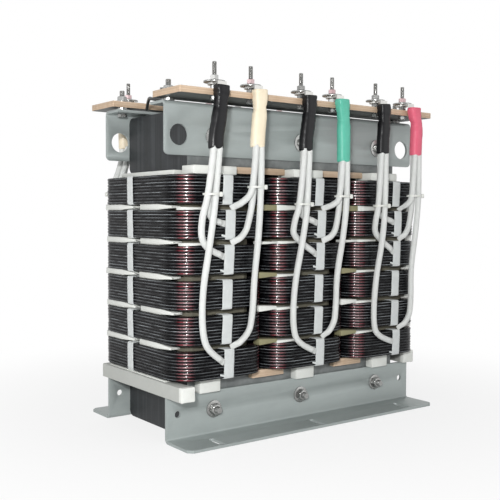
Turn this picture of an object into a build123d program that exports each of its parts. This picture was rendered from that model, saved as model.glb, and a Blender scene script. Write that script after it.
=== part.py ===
"""Three-limb dry type transformer with open disc windings.

Frame: X runs along the three limbs, -Y is the front with the six front terminals,
+Z is up. The origin is on the floor, midway between the feet. All sizes are in mm.
"""
from build123d import *
from math import cos, radians, sin, tan
import os

# ---- core ----
LIMB_PITCH = 202.0
LIMB_WIDTH = 106.0
STACK_DEPTH = 210.0
YOKE_HEIGHT = 106.0
WINDOW_HEIGHT = 367.0
CORE_LIFT = 2.0            # underside of the lower yoke above the floor
YOKE_EDGE_R = 12.0
LIMB_CORNER_R = 4.0

# ---- windings ----
FORMER_CLEARANCE = 3.0     # limb to inner winding
INNER_WINDING_BUILD = 12.0
INNER_DUCT = 3.0           # inner winding to barrier tube
BARRIER_WALL = 2.0
OUTER_DUCT = 3.0           # barrier tube to disc coils
DISC_BUILD = 21.0
DISC_GAP = 11.0
DISC_COUNT = 6
END_GAP_BELOW = 2.0        # lower yoke to the lowest disc
END_GAP_ABOVE = 10.0       # top disc to the upper yoke
TURNS = 9
TURN_GROOVE = 2.0          # depth of the groove between two turns
CORNER_FLATS = 3           # flat facets between two sides of a winding's plan

# ---- clamps ----
CLAMP_PLATE = 5.0
BEND_R = 4.0               # inside radius of the bends
BOTTOM_CLAMP_HALF = 300.0
BOTTOM_WEB_DROP = 26.0     # from the window down to the top edge of the bottom clamps
FOOT_WIDTH = 80.0
FOOT_CHAMFER = 9.0
FOOT_SLOT_PITCH = 230.0
FOOT_SLOT_REACH = 55.0     # core face to slot centre
FOOT_SLOT_LENGTH = 40.0
FOOT_SLOT_WIDTH = 11.5
EARTH_HOLE_INSET = 23.0    # from the end of the clamp
EARTH_HOLE_DIAMETER = 12.0
TOP_CLAMP_HALF = 303.0
TOP_WEB_RISE = 24.0        # from the window up to the lower edge of the top clamps
TOP_WEB_HEIGHT = 93.0
TOP_FLANGE = 50.0
TOP_CORNER_R = 9.0
LIFTING_HOLE_INSET = 28.5  # from the end of the clamp
LIFTING_HOLE_DIAMETER = 37.0

# ---- yoke bolts ----
LOWER_BOLT_Z = 48.6
UPPER_BOLT_RISE = 59.0     # from the window to the upper bolts and lifting holes
YOKE_BOLT_DIAMETER = 12.0
YOKE_BOLT_HOLE = 14.0
YOKE_NUT_FLATS = 19.0
YOKE_NUT_HEIGHT = 10.0
YOKE_WASHER_DIAMETER = 31.0
UPPER_WASHER_DIAMETER = 36.0
YOKE_WASHER_THICKNESS = 2.5
YOKE_BOLT_STICK_OUT = 7.0  # thread past the nut
THREAD_CLEARANCE = 0.1     # bolt to nut or washer bore, on the radius
ROUND_SIDES = 16           # flats of the outline of a washer, ring or spacer
BORE_SIDES = 10            # flats of the bore of a nut, washer or ring

# ---- terminal boards ----
BOARD_OVERHANG = 3.0       # past the end of the top clamp
BOARD_THICKNESS = 11.0
BOARD_OUTER_Y = 164.0
BOARD_WIDTH = 91.0
BOARD_CORNER_R = 2.0
BOARD_SPACER = 6.0         # gap between clamp flange and board
BOARD_SPACER_DIAMETER = 22.0
BOARD_BOLT_INSET = 22.0    # from the end of the top clamp
BOARD_BOLT_Y = 85.0
BOARD_BOLT_DIAMETER = 10.0
BOARD_BOLT_FLATS = 16.0
BOARD_HEAD_HEIGHT = 6.4
BOARD_NUT_HEIGHT = 8.4
BOARD_BOLT_STICK_OUT = 13.0
BOARD_HOLE_CLEARANCE = 0.5

# ---- terminals ----
STUD_PAIR_CENTRES = (-191.5, 1.0, 193.5)
STUD_PAIR_HALF = 38.5
STUD_Y = 152.0
STUD_DIAMETER = 8.0
STUD_RISE = 48.0           # above the board
STUD_FLATS = 13.0
STUD_HEAD_HEIGHT = 6.5
STUD_NUT_HEIGHT = 8.0
STUD_HOLE_CLEARANCE = 0.3
STUD_RELIEF_HEIGHT = 1.0   # groove that parts the free thread from the thread in the nuts
STUD_RELIEF_DEPTH = 0.5
LUG_THICKNESS = 4.0
LUG_RING_DIAMETER = 24.0
LUG_TONGUE_WIDTH = 18.0
LUG_LEG = 3.0              # thickness of the leg that goes down into the sleeve
PLATE_WASHER_DIAMETER = 38.0
PLATE_WASHER_THICKNESS = 3.0
SPRING_WASHER_DIAMETER = 14.0
SPRING_WASHER_THICKNESS = 2.0

# ---- leads, sleeves and ties ----
LEAD_DIAMETER = 11.0
LEAD_SIDES = 8             # flats of the plain tube that stands for a lead
LEAD_COIL_CLEARANCE = 0.4
SLEEVE_END_GAP = 0.8       # sleeve to the start of its leads
SLEEVE_WIDTH = 27.0
SLEEVE_DEPTH = 20.0
SLEEVE_CHAMFER = 6.0
SLEEVE_Y = -174.5
SLEEVE_RISE = 5.0          # above the board
TIE_BAND = 1.2
TIE_HEIGHT = 5.0
TIE_CLEARANCE = 2.0
TIE_HEAD = (7.0, 7.0, 9.0)

# ---- insulation ----
SIDE_SPACER_LENGTH = 112.0
SIDE_SPACER_BLOCK = 48.0   # length of full thickness before the taper
SIDE_SPACER_TIP = 4.0
SIDE_SPACER_STARTS = (-125.0, 8.0)
SPACER_SETBACK = 2.0       # spacers lie inside the face of the discs
BAR_WIDTH = 19.0
BAR_LENGTH = 40.0
LEFT_BAR_START = -87.0     # from the limb's axis
RIGHT_BAR_START = 75.0
BAR_OVERHANG = 20.0        # how far a bar runs into the space between two limbs
TAPE_WIDTH = 22.0
TAPE_THICKNESS = 1.2
FRONT_TAPE_X = (0.0, 10.0, 16.0)   # from each limb's axis
SIDE_TAPE_Y = 20.0
RAIL_WIDTH = 24.0
RAIL_HEIGHT = 25.0
RAIL_WALL = 5.0
RAIL_HALF_LENGTH = 168.0
RAIL_OVERHANG = 6.0        # past the side face of the outer discs
END_BLOCK_WIDTH = 48.0
LOWER_BLOCK_DEPTH = 18.0
PAD_WIDTH = 60.0
PAD_DEPTH = 38.0
PAD_HEIGHT = 11.0
TOP_BLOCK_WIDTH = 92.0
TOP_BLOCK_DEPTH = 38.0
TOP_BLOCK_HEIGHT = 15.0
PHASE_BOARD_WIDTH = 108.0
PHASE_BOARD_DEPTH = 12.0
PHASE_BOARD_HEIGHT = 16.0
CORE_FACE_CLEARANCE = 0.3
PACKING_LENGTH = 190.0     # strips on the windings past the ends of the upper yoke
PACKING_WIDTH = 19.0
PACKING_HEIGHT = 8.0

# ---- earthing strap between the two top clamps ----
STRAP_DIAMETER = 6.0
STRAP_INSETS = (22, 12, 31, 60)    # from the end of the top clamp
STRAP_PLACES = ((-72, 595.0), (-45, 600), (0, 609), (58, 595.2))

# ---- levels between which the heights of the routes are given ----
ROUTE_BOTTOM = 110.0
ROUTE_TOP = 465.0

# ---- derived levels and places ----
LIMB_NAMES = ("left", "centre", "right")
LIMB_X = (-LIMB_PITCH, 0.0, LIMB_PITCH)
CORE_HALF = LIMB_PITCH + LIMB_WIDTH / 2
CORE_FACE = STACK_DEPTH / 2
WEB_FACE = CORE_FACE + CLAMP_PLATE
WINDOW_BOTTOM = CORE_LIFT + YOKE_HEIGHT
WINDOW_TOP = WINDOW_BOTTOM + WINDOW_HEIGHT
BOTTOM_WEB_TOP = WINDOW_BOTTOM - BOTTOM_WEB_DROP
TOP_WEB_BOTTOM = WINDOW_TOP + TOP_WEB_RISE
TOP_WEB_TOP = TOP_WEB_BOTTOM + TOP_WEB_HEIGHT
UPPER_BOLT_Z = WINDOW_TOP + UPPER_BOLT_RISE
LIFTING_HOLE_Z = UPPER_BOLT_Z
LIFTING_HOLE_X = TOP_CLAMP_HALF - LIFTING_HOLE_INSET
EARTH_HOLE_X = BOTTOM_CLAMP_HALF - EARTH_HOLE_INSET
BOARD_BOLT_X = TOP_CLAMP_HALF - BOARD_BOLT_INSET
BOARD_HALF = TOP_CLAMP_HALF + BOARD_OVERHANG
INNER_IN = FORMER_CLEARANCE
INNER_OUT = INNER_IN + INNER_WINDING_BUILD
BARRIER_IN = INNER_OUT + INNER_DUCT
BARRIER_OUT = BARRIER_IN + BARRIER_WALL
DISC_IN = BARRIER_OUT + OUTER_DUCT
DISC_OUT = DISC_IN + DISC_BUILD
DISC_BOTTOM = WINDOW_BOTTOM + END_GAP_BELOW
DISC_TOP = WINDOW_TOP - END_GAP_ABOVE
DISC_HEIGHT = (DISC_TOP - DISC_BOTTOM - DISC_GAP * (DISC_COUNT - 1)) / DISC_COUNT
DISC_STEP = DISC_HEIGHT + DISC_GAP
WINDING_BOTTOM = DISC_BOTTOM - TAPE_THICKNESS   # the discs rest on their tapes
WINDING_TOP = DISC_TOP + TAPE_THICKNESS
COIL_SIDE = LIMB_WIDTH / 2 + DISC_OUT
COIL_FACE = CORE_FACE + DISC_OUT
BOARD_BOTTOM = TOP_WEB_TOP + BOARD_SPACER
BOARD_TOP = BOARD_BOTTOM + BOARD_THICKNESS
STUD_TOP = BOARD_TOP + STUD_RISE
SLEEVE_TOP = BOARD_TOP + SLEEVE_RISE
BOARD_MID_Y = BOARD_OUTER_Y - BOARD_WIDTH / 2
STUD_X = tuple(c + side * STUD_PAIR_HALF for c in STUD_PAIR_CENTRES for side in (-1, 1))
LUG_BOTTOM = BOARD_TOP + STUD_NUT_HEIGHT
LUG_TOP = LUG_BOTTOM + LUG_THICKNESS
PLATE_WASHER_TOP = LUG_TOP + PLATE_WASHER_THICKNESS
TOP_NUT_BOTTOM = PLATE_WASHER_TOP + SPRING_WASHER_THICKNESS
TOP_NUT_TOP = TOP_NUT_BOTTOM + STUD_NUT_HEIGHT

# Depths at which the leads run: in front, tucked behind the other two, on the coil.
FRONT = -178.0
REAR = -168.4
COIL = -(COIL_FACE + LEAD_DIAMETER / 2 + LEAD_COIL_CLEARANCE)


def raised(route):
    """A route whose heights follow the window: on the discs they stretch with the winding,
    above it they move with its top."""
    stretch = (DISC_TOP - DISC_BOTTOM) / (ROUTE_TOP - ROUTE_BOTTOM)
    return tuple((*place[:-1], place[-1] + DISC_TOP - ROUTE_TOP if place[-1] > ROUTE_TOP
                  else DISC_BOTTOM + (place[-1] - ROUTE_BOTTOM) * stretch) for place in route)


STRAP_ROUTE = raised((inset - TOP_CLAMP_HALF, *place)
                     for inset, place in zip(STRAP_INSETS, STRAP_PLACES))

# The six bundles of the front, left to right. Each has the route of its sleeve in x and
# z, then three leads: one to disc 1-2, one to disc 2-3 and the long one to disc 5-6.
# The first point of a lead is at the sleeve's end, the second inside the tie.
ROUTES = (
    dict(colour="black", sleeve=((-230, 614), (-231, 588), (-237, 550), (-242.5, 528), (-242.5, 507)),
         leads=(((-242.5, REAR, 507), (-248, -166, 431), (-246, -158, 400), (-232, COIL, 384),
                 (-215.5, COIL, 382)),
                ((-248.1, FRONT, 507), (-256, -175, 431), (-264, -166, 393), (-260, -157, 354),
                 (-241, COIL, 334), (-215.5, COIL, 326)),
                ((-236.9, FRONT, 507), (-242, -176, 431), (-250, -169, 345), (-258, -158, 265),
                 (-256, COIL, 196), (-242, COIL, 160), (-215.5, COIL, 143)))),
    dict(colour="cream", sleeve=((-150, 614), (-149, 588), (-152, 550), (-154, 532), (-154, 514)),
         leads=(((-159.6, FRONT, 514), (-163, -176, 445), (-170, -166, 422), (-188.5, COIL, 409.5)),
                ((-154, REAR, 514), (-154, -166, 445), (-158, -158, 392), (-168, COIL, 358),
                 (-188.5, COIL, 348.5)),
                ((-148.4, FRONT, 514), (-147, -176, 445), (-146, -168, 360), (-148, -158, 285),
                 (-149, COIL, 221), (-158, COIL, 180), (-188.5, COIL, 165.5)))),
    dict(colour="black", sleeve=((-36, 614), (-35, 588), (-40, 556), (-44, 532), (-44, 513)),
         leads=(((-44, REAR, 513), (-46, -166, 416), (-40, COIL, 392), (-3.5, COIL, 384)),
                ((-49.6, FRONT, 513), (-56, -175, 416), (-64, -167, 385), (-58, COIL, 352),
                 (-3.5, COIL, 326)),
                ((-38.4, FRONT, 513), (-39, -176, 416), (-46, -169, 345), (-55, -158, 270),
                 (-56, COIL, 206), (-40, COIL, 162), (-4.5, COIL, 143)))),
    dict(colour="green", sleeve=((45, 614), (45, 602), (50, 575), (50, 497)),
         leads=(((44.4, FRONT, 497), (42, -176, 432), (38, -166, 417), (23.5, COIL, 409.5)),
                ((50, REAR, 497), (50, -166, 432), (51, -158, 388), (45, COIL, 357),
                 (23.5, COIL, 348.5)),
                ((55.6, FRONT, 497), (59, -176, 432), (57, -168, 355), (50, -158, 285),
                 (51, COIL, 218), (46, COIL, 182), (23.5, COIL, 165.5)))),
    dict(colour="black", sleeve=((156, 614), (158, 588), (156, 560), (154, 540), (154, 517)),
         leads=(((154, REAR, 517), (155, -166, 415), (161, COIL, 394), (204.5, COIL, 384)),
                ((148.4, FRONT, 517), (145, -175, 415), (143, -167, 383), (154, COIL, 354),
                 (204.5, COIL, 326)),
                ((159.6, FRONT, 517), (162, -176, 415), (162, -169, 345), (155, -158, 270),
                 (153, COIL, 206), (164, COIL, 160), (204.5, COIL, 140)))),
    dict(colour="red", sleeve=((243, 614), (243, 604), (252, 578), (250, 548), (249, 518)),
         leads=(((243.4, FRONT, 518), (241, -176, 436), (239.5, -166, 420), (231.5, COIL, 409.5)),
                ((249, REAR, 518), (250.5, -166, 436), (254, -158, 392), (248, COIL, 360),
                 (231.5, COIL, 348.5)),
                ((254.6, FRONT, 518), (259, -176, 436), (259, -168, 360), (257, -158, 290),
                 (262, COIL, 218), (256, COIL, 180), (231.5, COIL, 165.5)))),
)
BUNDLES = [dict(colour=bundle["colour"], sleeve=raised(bundle["sleeve"]),
                leads=[raised(lead) for lead in bundle["leads"]]) for bundle in ROUTES]


def write(name, *solids):
    """One STEP file per node, holding one solid or a group of separate solids."""
    shape = solids[0] if len(solids) == 1 else Compound(children=list(solids))
    shape.label = name
    export_step(shape, f"parts/{name}.step")


def half_turn(shape):
    """The same piece on the back of the transformer, turned half a turn about Z."""
    return Rot(0, 0, 180) * shape


def both_sides(solids):
    """Front pieces and their copies on the back."""
    return [*solids, *(half_turn(s) for s in solids)]


# ---- core ----
def yoke(bottom, bolt_z):
    """Stack of laminations across the three limbs, long edges eased, drilled for bolts."""
    section = Plane.YZ * Pos(0, bottom + YOKE_HEIGHT / 2) * RectangleRounded(
        STACK_DEPTH, YOKE_HEIGHT, YOKE_EDGE_R)
    block = extrude(section, amount=CORE_HALF, both=True)
    for x in LIMB_X:
        block -= Pos(x, 0, bolt_z) * Rot(90, 0, 0) * Cylinder(YOKE_BOLT_HOLE / 2, STACK_DEPTH)
    return block


def limb(x):
    """Upright stack that carries one phase's windings."""
    section = Pos(x, 0, WINDOW_BOTTOM) * RectangleRounded(LIMB_WIDTH, STACK_DEPTH, LIMB_CORNER_R)
    return extrude(section, amount=WINDOW_HEIGHT)


# ---- windings ----
def winding_plan(offset):
    """Plan of the limb grown by an offset, with round corners made of a few flats."""
    radius = LIMB_CORNER_R + offset
    inset_x = LIMB_WIDTH / 2 - LIMB_CORNER_R
    inset_y = STACK_DEPTH / 2 - LIMB_CORNER_R
    step = 90 / CORNER_FLATS
    reach = radius / cos(radians(step / 2))
    points = []
    for quarter, (sx, sy) in enumerate(((1, 1), (-1, 1), (-1, -1), (1, -1))):
        for k in range(CORNER_FLATS):
            angle = radians(90 * quarter + (k + 0.5) * step)
            points.append((sx * inset_x + reach * cos(angle), sy * inset_y + reach * sin(angle)))
    return make_face(Polyline(*points, close=True))


def tube(inner, outer, bottom, top):
    """Tube round a limb between two offsets from it."""
    wall = winding_plan(outer) - winding_plan(inner)
    return Pos(0, 0, bottom) * extrude(wall, amount=top - bottom)


def disc_coil():
    """One disc of the outer winding: turns of flat wire stacked on edge, so that the
    outer face is a row of ridges, one a turn."""
    half_turn_height = DISC_HEIGHT / TURNS / 2
    sections = []
    for k in range(2 * TURNS + 1):
        offset = DISC_OUT if k % 2 else DISC_OUT - TURN_GROOVE
        sections.append(Pos(0, 0, k * half_turn_height) * winding_plan(offset))
    return loft(sections, ruled=True) - extrude(winding_plan(DISC_IN), amount=DISC_HEIGHT)


def disc_bottom(level):
    """Height of the underside of disc 1 (top) to DISC_COUNT (bottom)."""
    return DISC_BOTTOM + (DISC_COUNT - level) * DISC_STEP


# ---- insulation between and round the discs ----
def side_spacer(start):
    """White wedge in a gap at the outer side of an end limb, full thickness at one end."""
    thick = DISC_GAP
    tip_low = (thick - SIDE_SPACER_TIP) / 2
    outline = Polyline((start, 0), (start + SIDE_SPACER_LENGTH - SIDE_SPACER_BLOCK, 0),
                       (start + SIDE_SPACER_LENGTH, tip_low),
                       (start + SIDE_SPACER_LENGTH, tip_low + SIDE_SPACER_TIP),
                       (start + SIDE_SPACER_LENGTH - SIDE_SPACER_BLOCK, thick),
                       (start, thick), close=True)
    depth = DISC_OUT - BARRIER_OUT - CORE_FACE_CLEARANCE - SPACER_SETBACK - TURN_GROOVE
    wedge = extrude(Plane.YZ * make_face(outline), amount=depth)
    inner_x = LIMB_PITCH + LIMB_WIDTH / 2 + BARRIER_OUT + CORE_FACE_CLEARANCE
    return Pos(inner_x, 0, 0) * wedge


def gap_levels():
    """Underside of each of the gaps between discs, top gap first."""
    return [disc_bottom(k) - DISC_GAP for k in range(1, DISC_COUNT)]


def side_spacers():
    """Two wedges in each gap on the two end faces."""
    pieces = []
    for z in gap_levels():
        for start in SIDE_SPACER_STARTS:
            pieces.append(Pos(0, 0, z) * side_spacer(start))
    return both_sides(pieces)


def front_bar(x, z, length):
    """Flat bar in a gap, just behind the front face of the discs."""
    y = -(COIL_FACE - TURN_GROOVE - SPACER_SETBACK)
    return Pos(x, y, z) * Box(length, BAR_WIDTH, DISC_GAP, align=(Align.MIN, Align.MIN, Align.MIN))


def gap_bars(olive):
    """Bars of each gap: one at the left of each limb and one at its right that runs into
    the space between two limbs. In every second gap the right-hand bars are olive."""
    pieces = []
    for number, z in enumerate(gap_levels()):
        for x in LIMB_X:
            right_length = BAR_LENGTH if x < LIMB_X[-1] else BAR_LENGTH - BAR_OVERHANG
            right_is_olive = number % 2 == 0
            if olive == right_is_olive:
                pieces.append(front_bar(x + RIGHT_BAR_START, z, right_length))
            if not olive:
                pieces.append(front_bar(x + LEFT_BAR_START, z, BAR_LENGTH))
    return both_sides(pieces)


def tape(bottom):
    """Woven tape tied round the section of one disc, drawn at x = 0 on the front."""
    t = TAPE_THICKNESS
    outer = Box(TAPE_WIDTH, DISC_BUILD + 2 * t, DISC_HEIGHT + 2 * t)
    inner = Box(TAPE_WIDTH, DISC_BUILD, DISC_HEIGHT)
    return Pos(0, -(COIL_FACE - DISC_BUILD / 2), bottom + DISC_HEIGHT / 2) * (outer - inner)


def binding_tapes():
    """One tape on the front and back of every disc, and one on the two end faces."""
    pieces = []
    to_side = COIL_FACE - COIL_SIDE
    for level in range(1, DISC_COUNT + 1):
        band = tape(disc_bottom(level))
        for x, shift in zip(LIMB_X, FRONT_TAPE_X):
            pieces.append(Pos(x + shift, 0, 0) * band)
        side = Rot(0, 0, -90) * Pos(0, to_side, 0) * band
        pieces.append(Pos(-LIMB_PITCH, SIDE_TAPE_Y, 0) * side)
    return both_sides(pieces)


def support_rail():
    """White channel under the outer side of an end limb, with a packing strip on top."""
    centre = LIMB_PITCH + COIL_SIDE + RAIL_OVERHANG - RAIL_WIDTH / 2
    rail = Box(RAIL_WIDTH, 2 * RAIL_HALF_LENGTH, RAIL_HEIGHT)
    groove = Box(RAIL_WIDTH - 2 * RAIL_WALL, 2 * RAIL_HALF_LENGTH, RAIL_HEIGHT - RAIL_WALL)
    channel = rail - Pos(0, 0, -RAIL_WALL / 2) * groove
    strip_height = WINDING_BOTTOM - BOTTOM_WEB_TOP - RAIL_HEIGHT
    strip = Box(RAIL_WIDTH - 2 * RAIL_WALL, 2 * CORE_FACE, strip_height)
    low = BOTTOM_WEB_TOP + RAIL_HEIGHT / 2
    return [Pos(centre, 0, low) * channel,
            Pos(centre, 0, low + RAIL_HEIGHT / 2 + strip_height / 2) * strip]


def lower_end_block(x):
    """White block on the bottom clamp's edge, wider and deeper under the disc."""
    front = -(CORE_FACE + CORE_FACE_CLEARANCE)
    height = WINDING_BOTTOM - BOTTOM_WEB_TOP
    align = (Align.CENTER, Align.MAX, Align.MIN)
    block = Box(END_BLOCK_WIDTH, LOWER_BLOCK_DEPTH, height, align=align)
    pad = Pos(0, 0, height - PAD_HEIGHT) * Box(PAD_WIDTH, PAD_DEPTH, PAD_HEIGHT, align=align)
    return Pos(x, front, BOTTOM_WEB_TOP) * (block + pad)


def upper_end_block(x):
    """White block between the top disc and the front face of the upper yoke."""
    front = -(CORE_FACE + CORE_FACE_CLEARANCE)
    block = Box(TOP_BLOCK_WIDTH, TOP_BLOCK_DEPTH, TOP_BLOCK_HEIGHT,
                align=(Align.CENTER, Align.MAX, Align.MIN))
    return Pos(x, front, WINDING_TOP) * block


def packing_strip():
    """White strip on the inner winding and barrier tube, past the end of the upper yoke."""
    start = CORE_HALF + INNER_IN
    return Pos(start, 0, WINDING_TOP) * Box(
        PACKING_WIDTH, PACKING_LENGTH, PACKING_HEIGHT, align=(Align.MIN, Align.CENTER, Align.MIN))


def phase_boards():
    """Tan boards between two limbs, above and below the windings."""
    front = -(CORE_FACE + CORE_FACE_CLEARANCE)
    align = (Align.CENTER, Align.MAX, Align.MIN)
    upper = Box(PHASE_BOARD_WIDTH, PHASE_BOARD_DEPTH, PHASE_BOARD_HEIGHT, align=align)
    lower = Box(PHASE_BOARD_WIDTH, PHASE_BOARD_DEPTH, WINDING_BOTTOM - BOTTOM_WEB_TOP, align=align)
    pieces = []
    for x in (-LIMB_PITCH / 2, LIMB_PITCH / 2):
        pieces.append(Pos(x, front, WINDING_TOP) * upper)
        pieces.append(Pos(x, front, BOTTOM_WEB_TOP) * lower)
    return both_sides(pieces)


# ---- clamps ----
def bolt_holes(z):
    """Holes through both clamp webs, one on each limb's axis."""
    hole = Rot(90, 0, 0) * Cylinder(YOKE_BOLT_HOLE / 2, 3 * CORE_FACE)
    return [Pos(x, 0, z) * hole for x in LIMB_X]


def bottom_clamp():
    """Front angle: the web stands on the core's face and the foot turns outwards."""
    outline = Polyline((0, 0), (-FOOT_WIDTH, 0), (-FOOT_WIDTH, CLAMP_PLATE),
                       (-CLAMP_PLATE, CLAMP_PLATE), (-CLAMP_PLATE, BOTTOM_WEB_TOP),
                       (0, BOTTOM_WEB_TOP), close=True)
    section = make_face(outline)
    heel = section.vertices().sort_by_distance((0, 0, 0))[0]
    section = fillet(heel, BEND_R + CLAMP_PLATE)
    root = section.vertices().sort_by_distance((-CLAMP_PLATE, CLAMP_PLATE, 0))[0]
    section = fillet(root, BEND_R)
    angle = extrude(Plane.YZ * Pos(-CORE_FACE, 0) * section, amount=BOTTOM_CLAMP_HALF, both=True)
    toe = angle.edges().filter_by(Axis.Z).group_by(Axis.Y)[0]
    angle = chamfer(toe, FOOT_CHAMFER)
    slot = extrude(SlotOverall(FOOT_SLOT_LENGTH, FOOT_SLOT_WIDTH, rotation=90),
                   amount=2 * CLAMP_PLATE, both=True)
    for x in (-FOOT_SLOT_PITCH, 0, FOOT_SLOT_PITCH):
        angle -= Pos(x, -(CORE_FACE + FOOT_SLOT_REACH), 0) * slot
    for x in (-EARTH_HOLE_X, EARTH_HOLE_X):
        angle -= Pos(x, 0, LOWER_BOLT_Z) * Rot(90, 0, 0) * Cylinder(
            EARTH_HOLE_DIAMETER / 2, 3 * CORE_FACE)
    for hole in bolt_holes(LOWER_BOLT_Z):
        angle -= hole
    return angle


def top_clamp():
    """Front angle: the web lies on the yoke's face and the flange turns in over it."""
    outline = Polyline((-CLAMP_PLATE, TOP_WEB_BOTTOM), (-CLAMP_PLATE, TOP_WEB_TOP),
                       (TOP_FLANGE - CLAMP_PLATE, TOP_WEB_TOP),
                       (TOP_FLANGE - CLAMP_PLATE, TOP_WEB_TOP - CLAMP_PLATE),
                       (0, TOP_WEB_TOP - CLAMP_PLATE), (0, TOP_WEB_BOTTOM), close=True)
    section = make_face(outline)
    heel = section.vertices().sort_by_distance((-CLAMP_PLATE, TOP_WEB_TOP, 0))[0]
    section = fillet(heel, BEND_R + CLAMP_PLATE)
    root = section.vertices().sort_by_distance((0, TOP_WEB_TOP - CLAMP_PLATE, 0))[0]
    section = fillet(root, BEND_R)
    angle = extrude(Plane.YZ * Pos(-CORE_FACE, 0) * section, amount=TOP_CLAMP_HALF, both=True)
    low_corners = angle.edges().filter_by(Axis.Y).group_by(Axis.Z)[0]
    angle = fillet(low_corners, TOP_CORNER_R)
    for x in (-LIFTING_HOLE_X, LIFTING_HOLE_X):
        angle -= Pos(x, 0, LIFTING_HOLE_Z) * Rot(90, 0, 0) * Cylinder(
            LIFTING_HOLE_DIAMETER / 2, 3 * CORE_FACE)
    for x in (-BOARD_BOLT_X, BOARD_BOLT_X):
        angle -= Pos(x, -BOARD_BOLT_Y, TOP_WEB_TOP) * Cylinder(
            BOARD_BOLT_DIAMETER / 2 + BOARD_HOLE_CLEARANCE, 4 * CLAMP_PLATE)
    for hole in bolt_holes(UPPER_BOLT_Z):
        angle -= hole
    return angle


# ---- fasteners ----
def hexagon(flats, height):
    """Hexagon prism standing on z = 0."""
    return extrude(RegularPolygon(flats / 2, 6, major_radius=False), amount=height)


def bore_plan(bolt):
    """Outline of the bore round a bolt, its flats clear of the thread."""
    return RegularPolygon(bolt / 2 + THREAD_CLEARANCE, BORE_SIDES, major_radius=False)


def nut(flats, bolt, height):
    """Plain hexagon nut standing on z = 0."""
    return hexagon(flats, height) - extrude(bore_plan(bolt), amount=height)


def washer(diameter, bolt, thickness):
    """Flat washer standing on z = 0."""
    return extrude(RegularPolygon(diameter / 2, ROUND_SIDES) - bore_plan(bolt), amount=thickness)


def yoke_fasteners():
    """Threaded rods through both clamps and the yokes, with a washer and nut at each end."""
    seat = WEB_FACE + YOKE_WASHER_THICKNESS
    reach = seat + YOKE_NUT_HEIGHT + YOKE_BOLT_STICK_OUT
    rod = Rot(90, 0, 0) * Cylinder(YOKE_BOLT_DIAMETER / 2, 2 * reach)
    one_nut = Pos(0, -seat, 0) * Rot(90, 0, 0) * nut(YOKE_NUT_FLATS, YOKE_BOLT_DIAMETER, YOKE_NUT_HEIGHT)
    rods, nuts, washers = [], [], []
    for z, washer_diameter in ((LOWER_BOLT_Z, YOKE_WASHER_DIAMETER), (UPPER_BOLT_Z, UPPER_WASHER_DIAMETER)):
        one_washer = Pos(0, -WEB_FACE, 0) * Rot(90, 0, 0) * washer(
            washer_diameter, YOKE_BOLT_DIAMETER, YOKE_WASHER_THICKNESS)
        for x in LIMB_X:
            rods.append(Pos(x, 0, z) * rod)
            nuts += both_sides([Pos(x, 0, z) * one_nut])
            washers += both_sides([Pos(x, 0, z) * one_washer])
    return rods, nuts, washers


def board_fasteners():
    """Bolts that carry the boards on the top clamps: head below the flange, spacer, nut."""
    under_flange = TOP_WEB_TOP - CLAMP_PLATE
    shank = BOARD_TOP + BOARD_NUT_HEIGHT + BOARD_BOLT_STICK_OUT - under_flange
    head = Pos(0, 0, under_flange - BOARD_HEAD_HEIGHT) * hexagon(BOARD_BOLT_FLATS, BOARD_HEAD_HEIGHT)
    bolt = head + Pos(0, 0, under_flange) * Cylinder(
        BOARD_BOLT_DIAMETER / 2, shank, align=(Align.CENTER, Align.CENTER, Align.MIN))
    spacer = Pos(0, 0, TOP_WEB_TOP) * washer(BOARD_SPACER_DIAMETER, BOARD_BOLT_DIAMETER, BOARD_SPACER)
    top_nut = Pos(0, 0, BOARD_TOP) * nut(BOARD_BOLT_FLATS, BOARD_BOLT_DIAMETER, BOARD_NUT_HEIGHT)
    places = [Pos(x, -BOARD_BOLT_Y, 0) for x in (-BOARD_BOLT_X, BOARD_BOLT_X)]
    return [both_sides([place * piece for place in places]) for piece in (bolt, spacer, top_nut)]


# ---- terminals ----
def terminal_board():
    """Front board, drilled for its six studs and two bolts."""
    plate = extrude(RectangleRounded(2 * BOARD_HALF, BOARD_WIDTH, BOARD_CORNER_R), amount=BOARD_THICKNESS)
    board = Pos(0, -BOARD_MID_Y, BOARD_BOTTOM) * plate
    for x in STUD_X:
        board -= Pos(x, -STUD_Y, BOARD_BOTTOM) * Cylinder(
            STUD_DIAMETER / 2 + STUD_HOLE_CLEARANCE, 3 * BOARD_THICKNESS)
    for x in (-BOARD_BOLT_X, BOARD_BOLT_X):
        board -= Pos(x, -BOARD_BOLT_Y, BOARD_BOTTOM) * Cylinder(
            BOARD_BOLT_DIAMETER / 2 + BOARD_HOLE_CLEARANCE, 3 * BOARD_THICKNESS)
    return board


def terminal_stud():
    """Bolt through the board from below, its head under the board, with a relief groove
    in the top nut, where the free end begins."""
    head = Pos(0, 0, BOARD_BOTTOM - STUD_HEAD_HEIGHT) * hexagon(STUD_FLATS, STUD_HEAD_HEIGHT)
    shank = Pos(0, 0, BOARD_BOTTOM) * Cylinder(
        STUD_DIAMETER / 2, STUD_TOP - BOARD_BOTTOM, align=(Align.CENTER, Align.CENTER, Align.MIN))
    relief = Pos(0, 0, TOP_NUT_TOP - STUD_RELIEF_HEIGHT / 2) * (
        Cylinder(STUD_DIAMETER, STUD_RELIEF_HEIGHT)
        - Cylinder(STUD_DIAMETER / 2 - STUD_RELIEF_DEPTH, STUD_RELIEF_HEIGHT))
    return head + shank - relief


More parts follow.
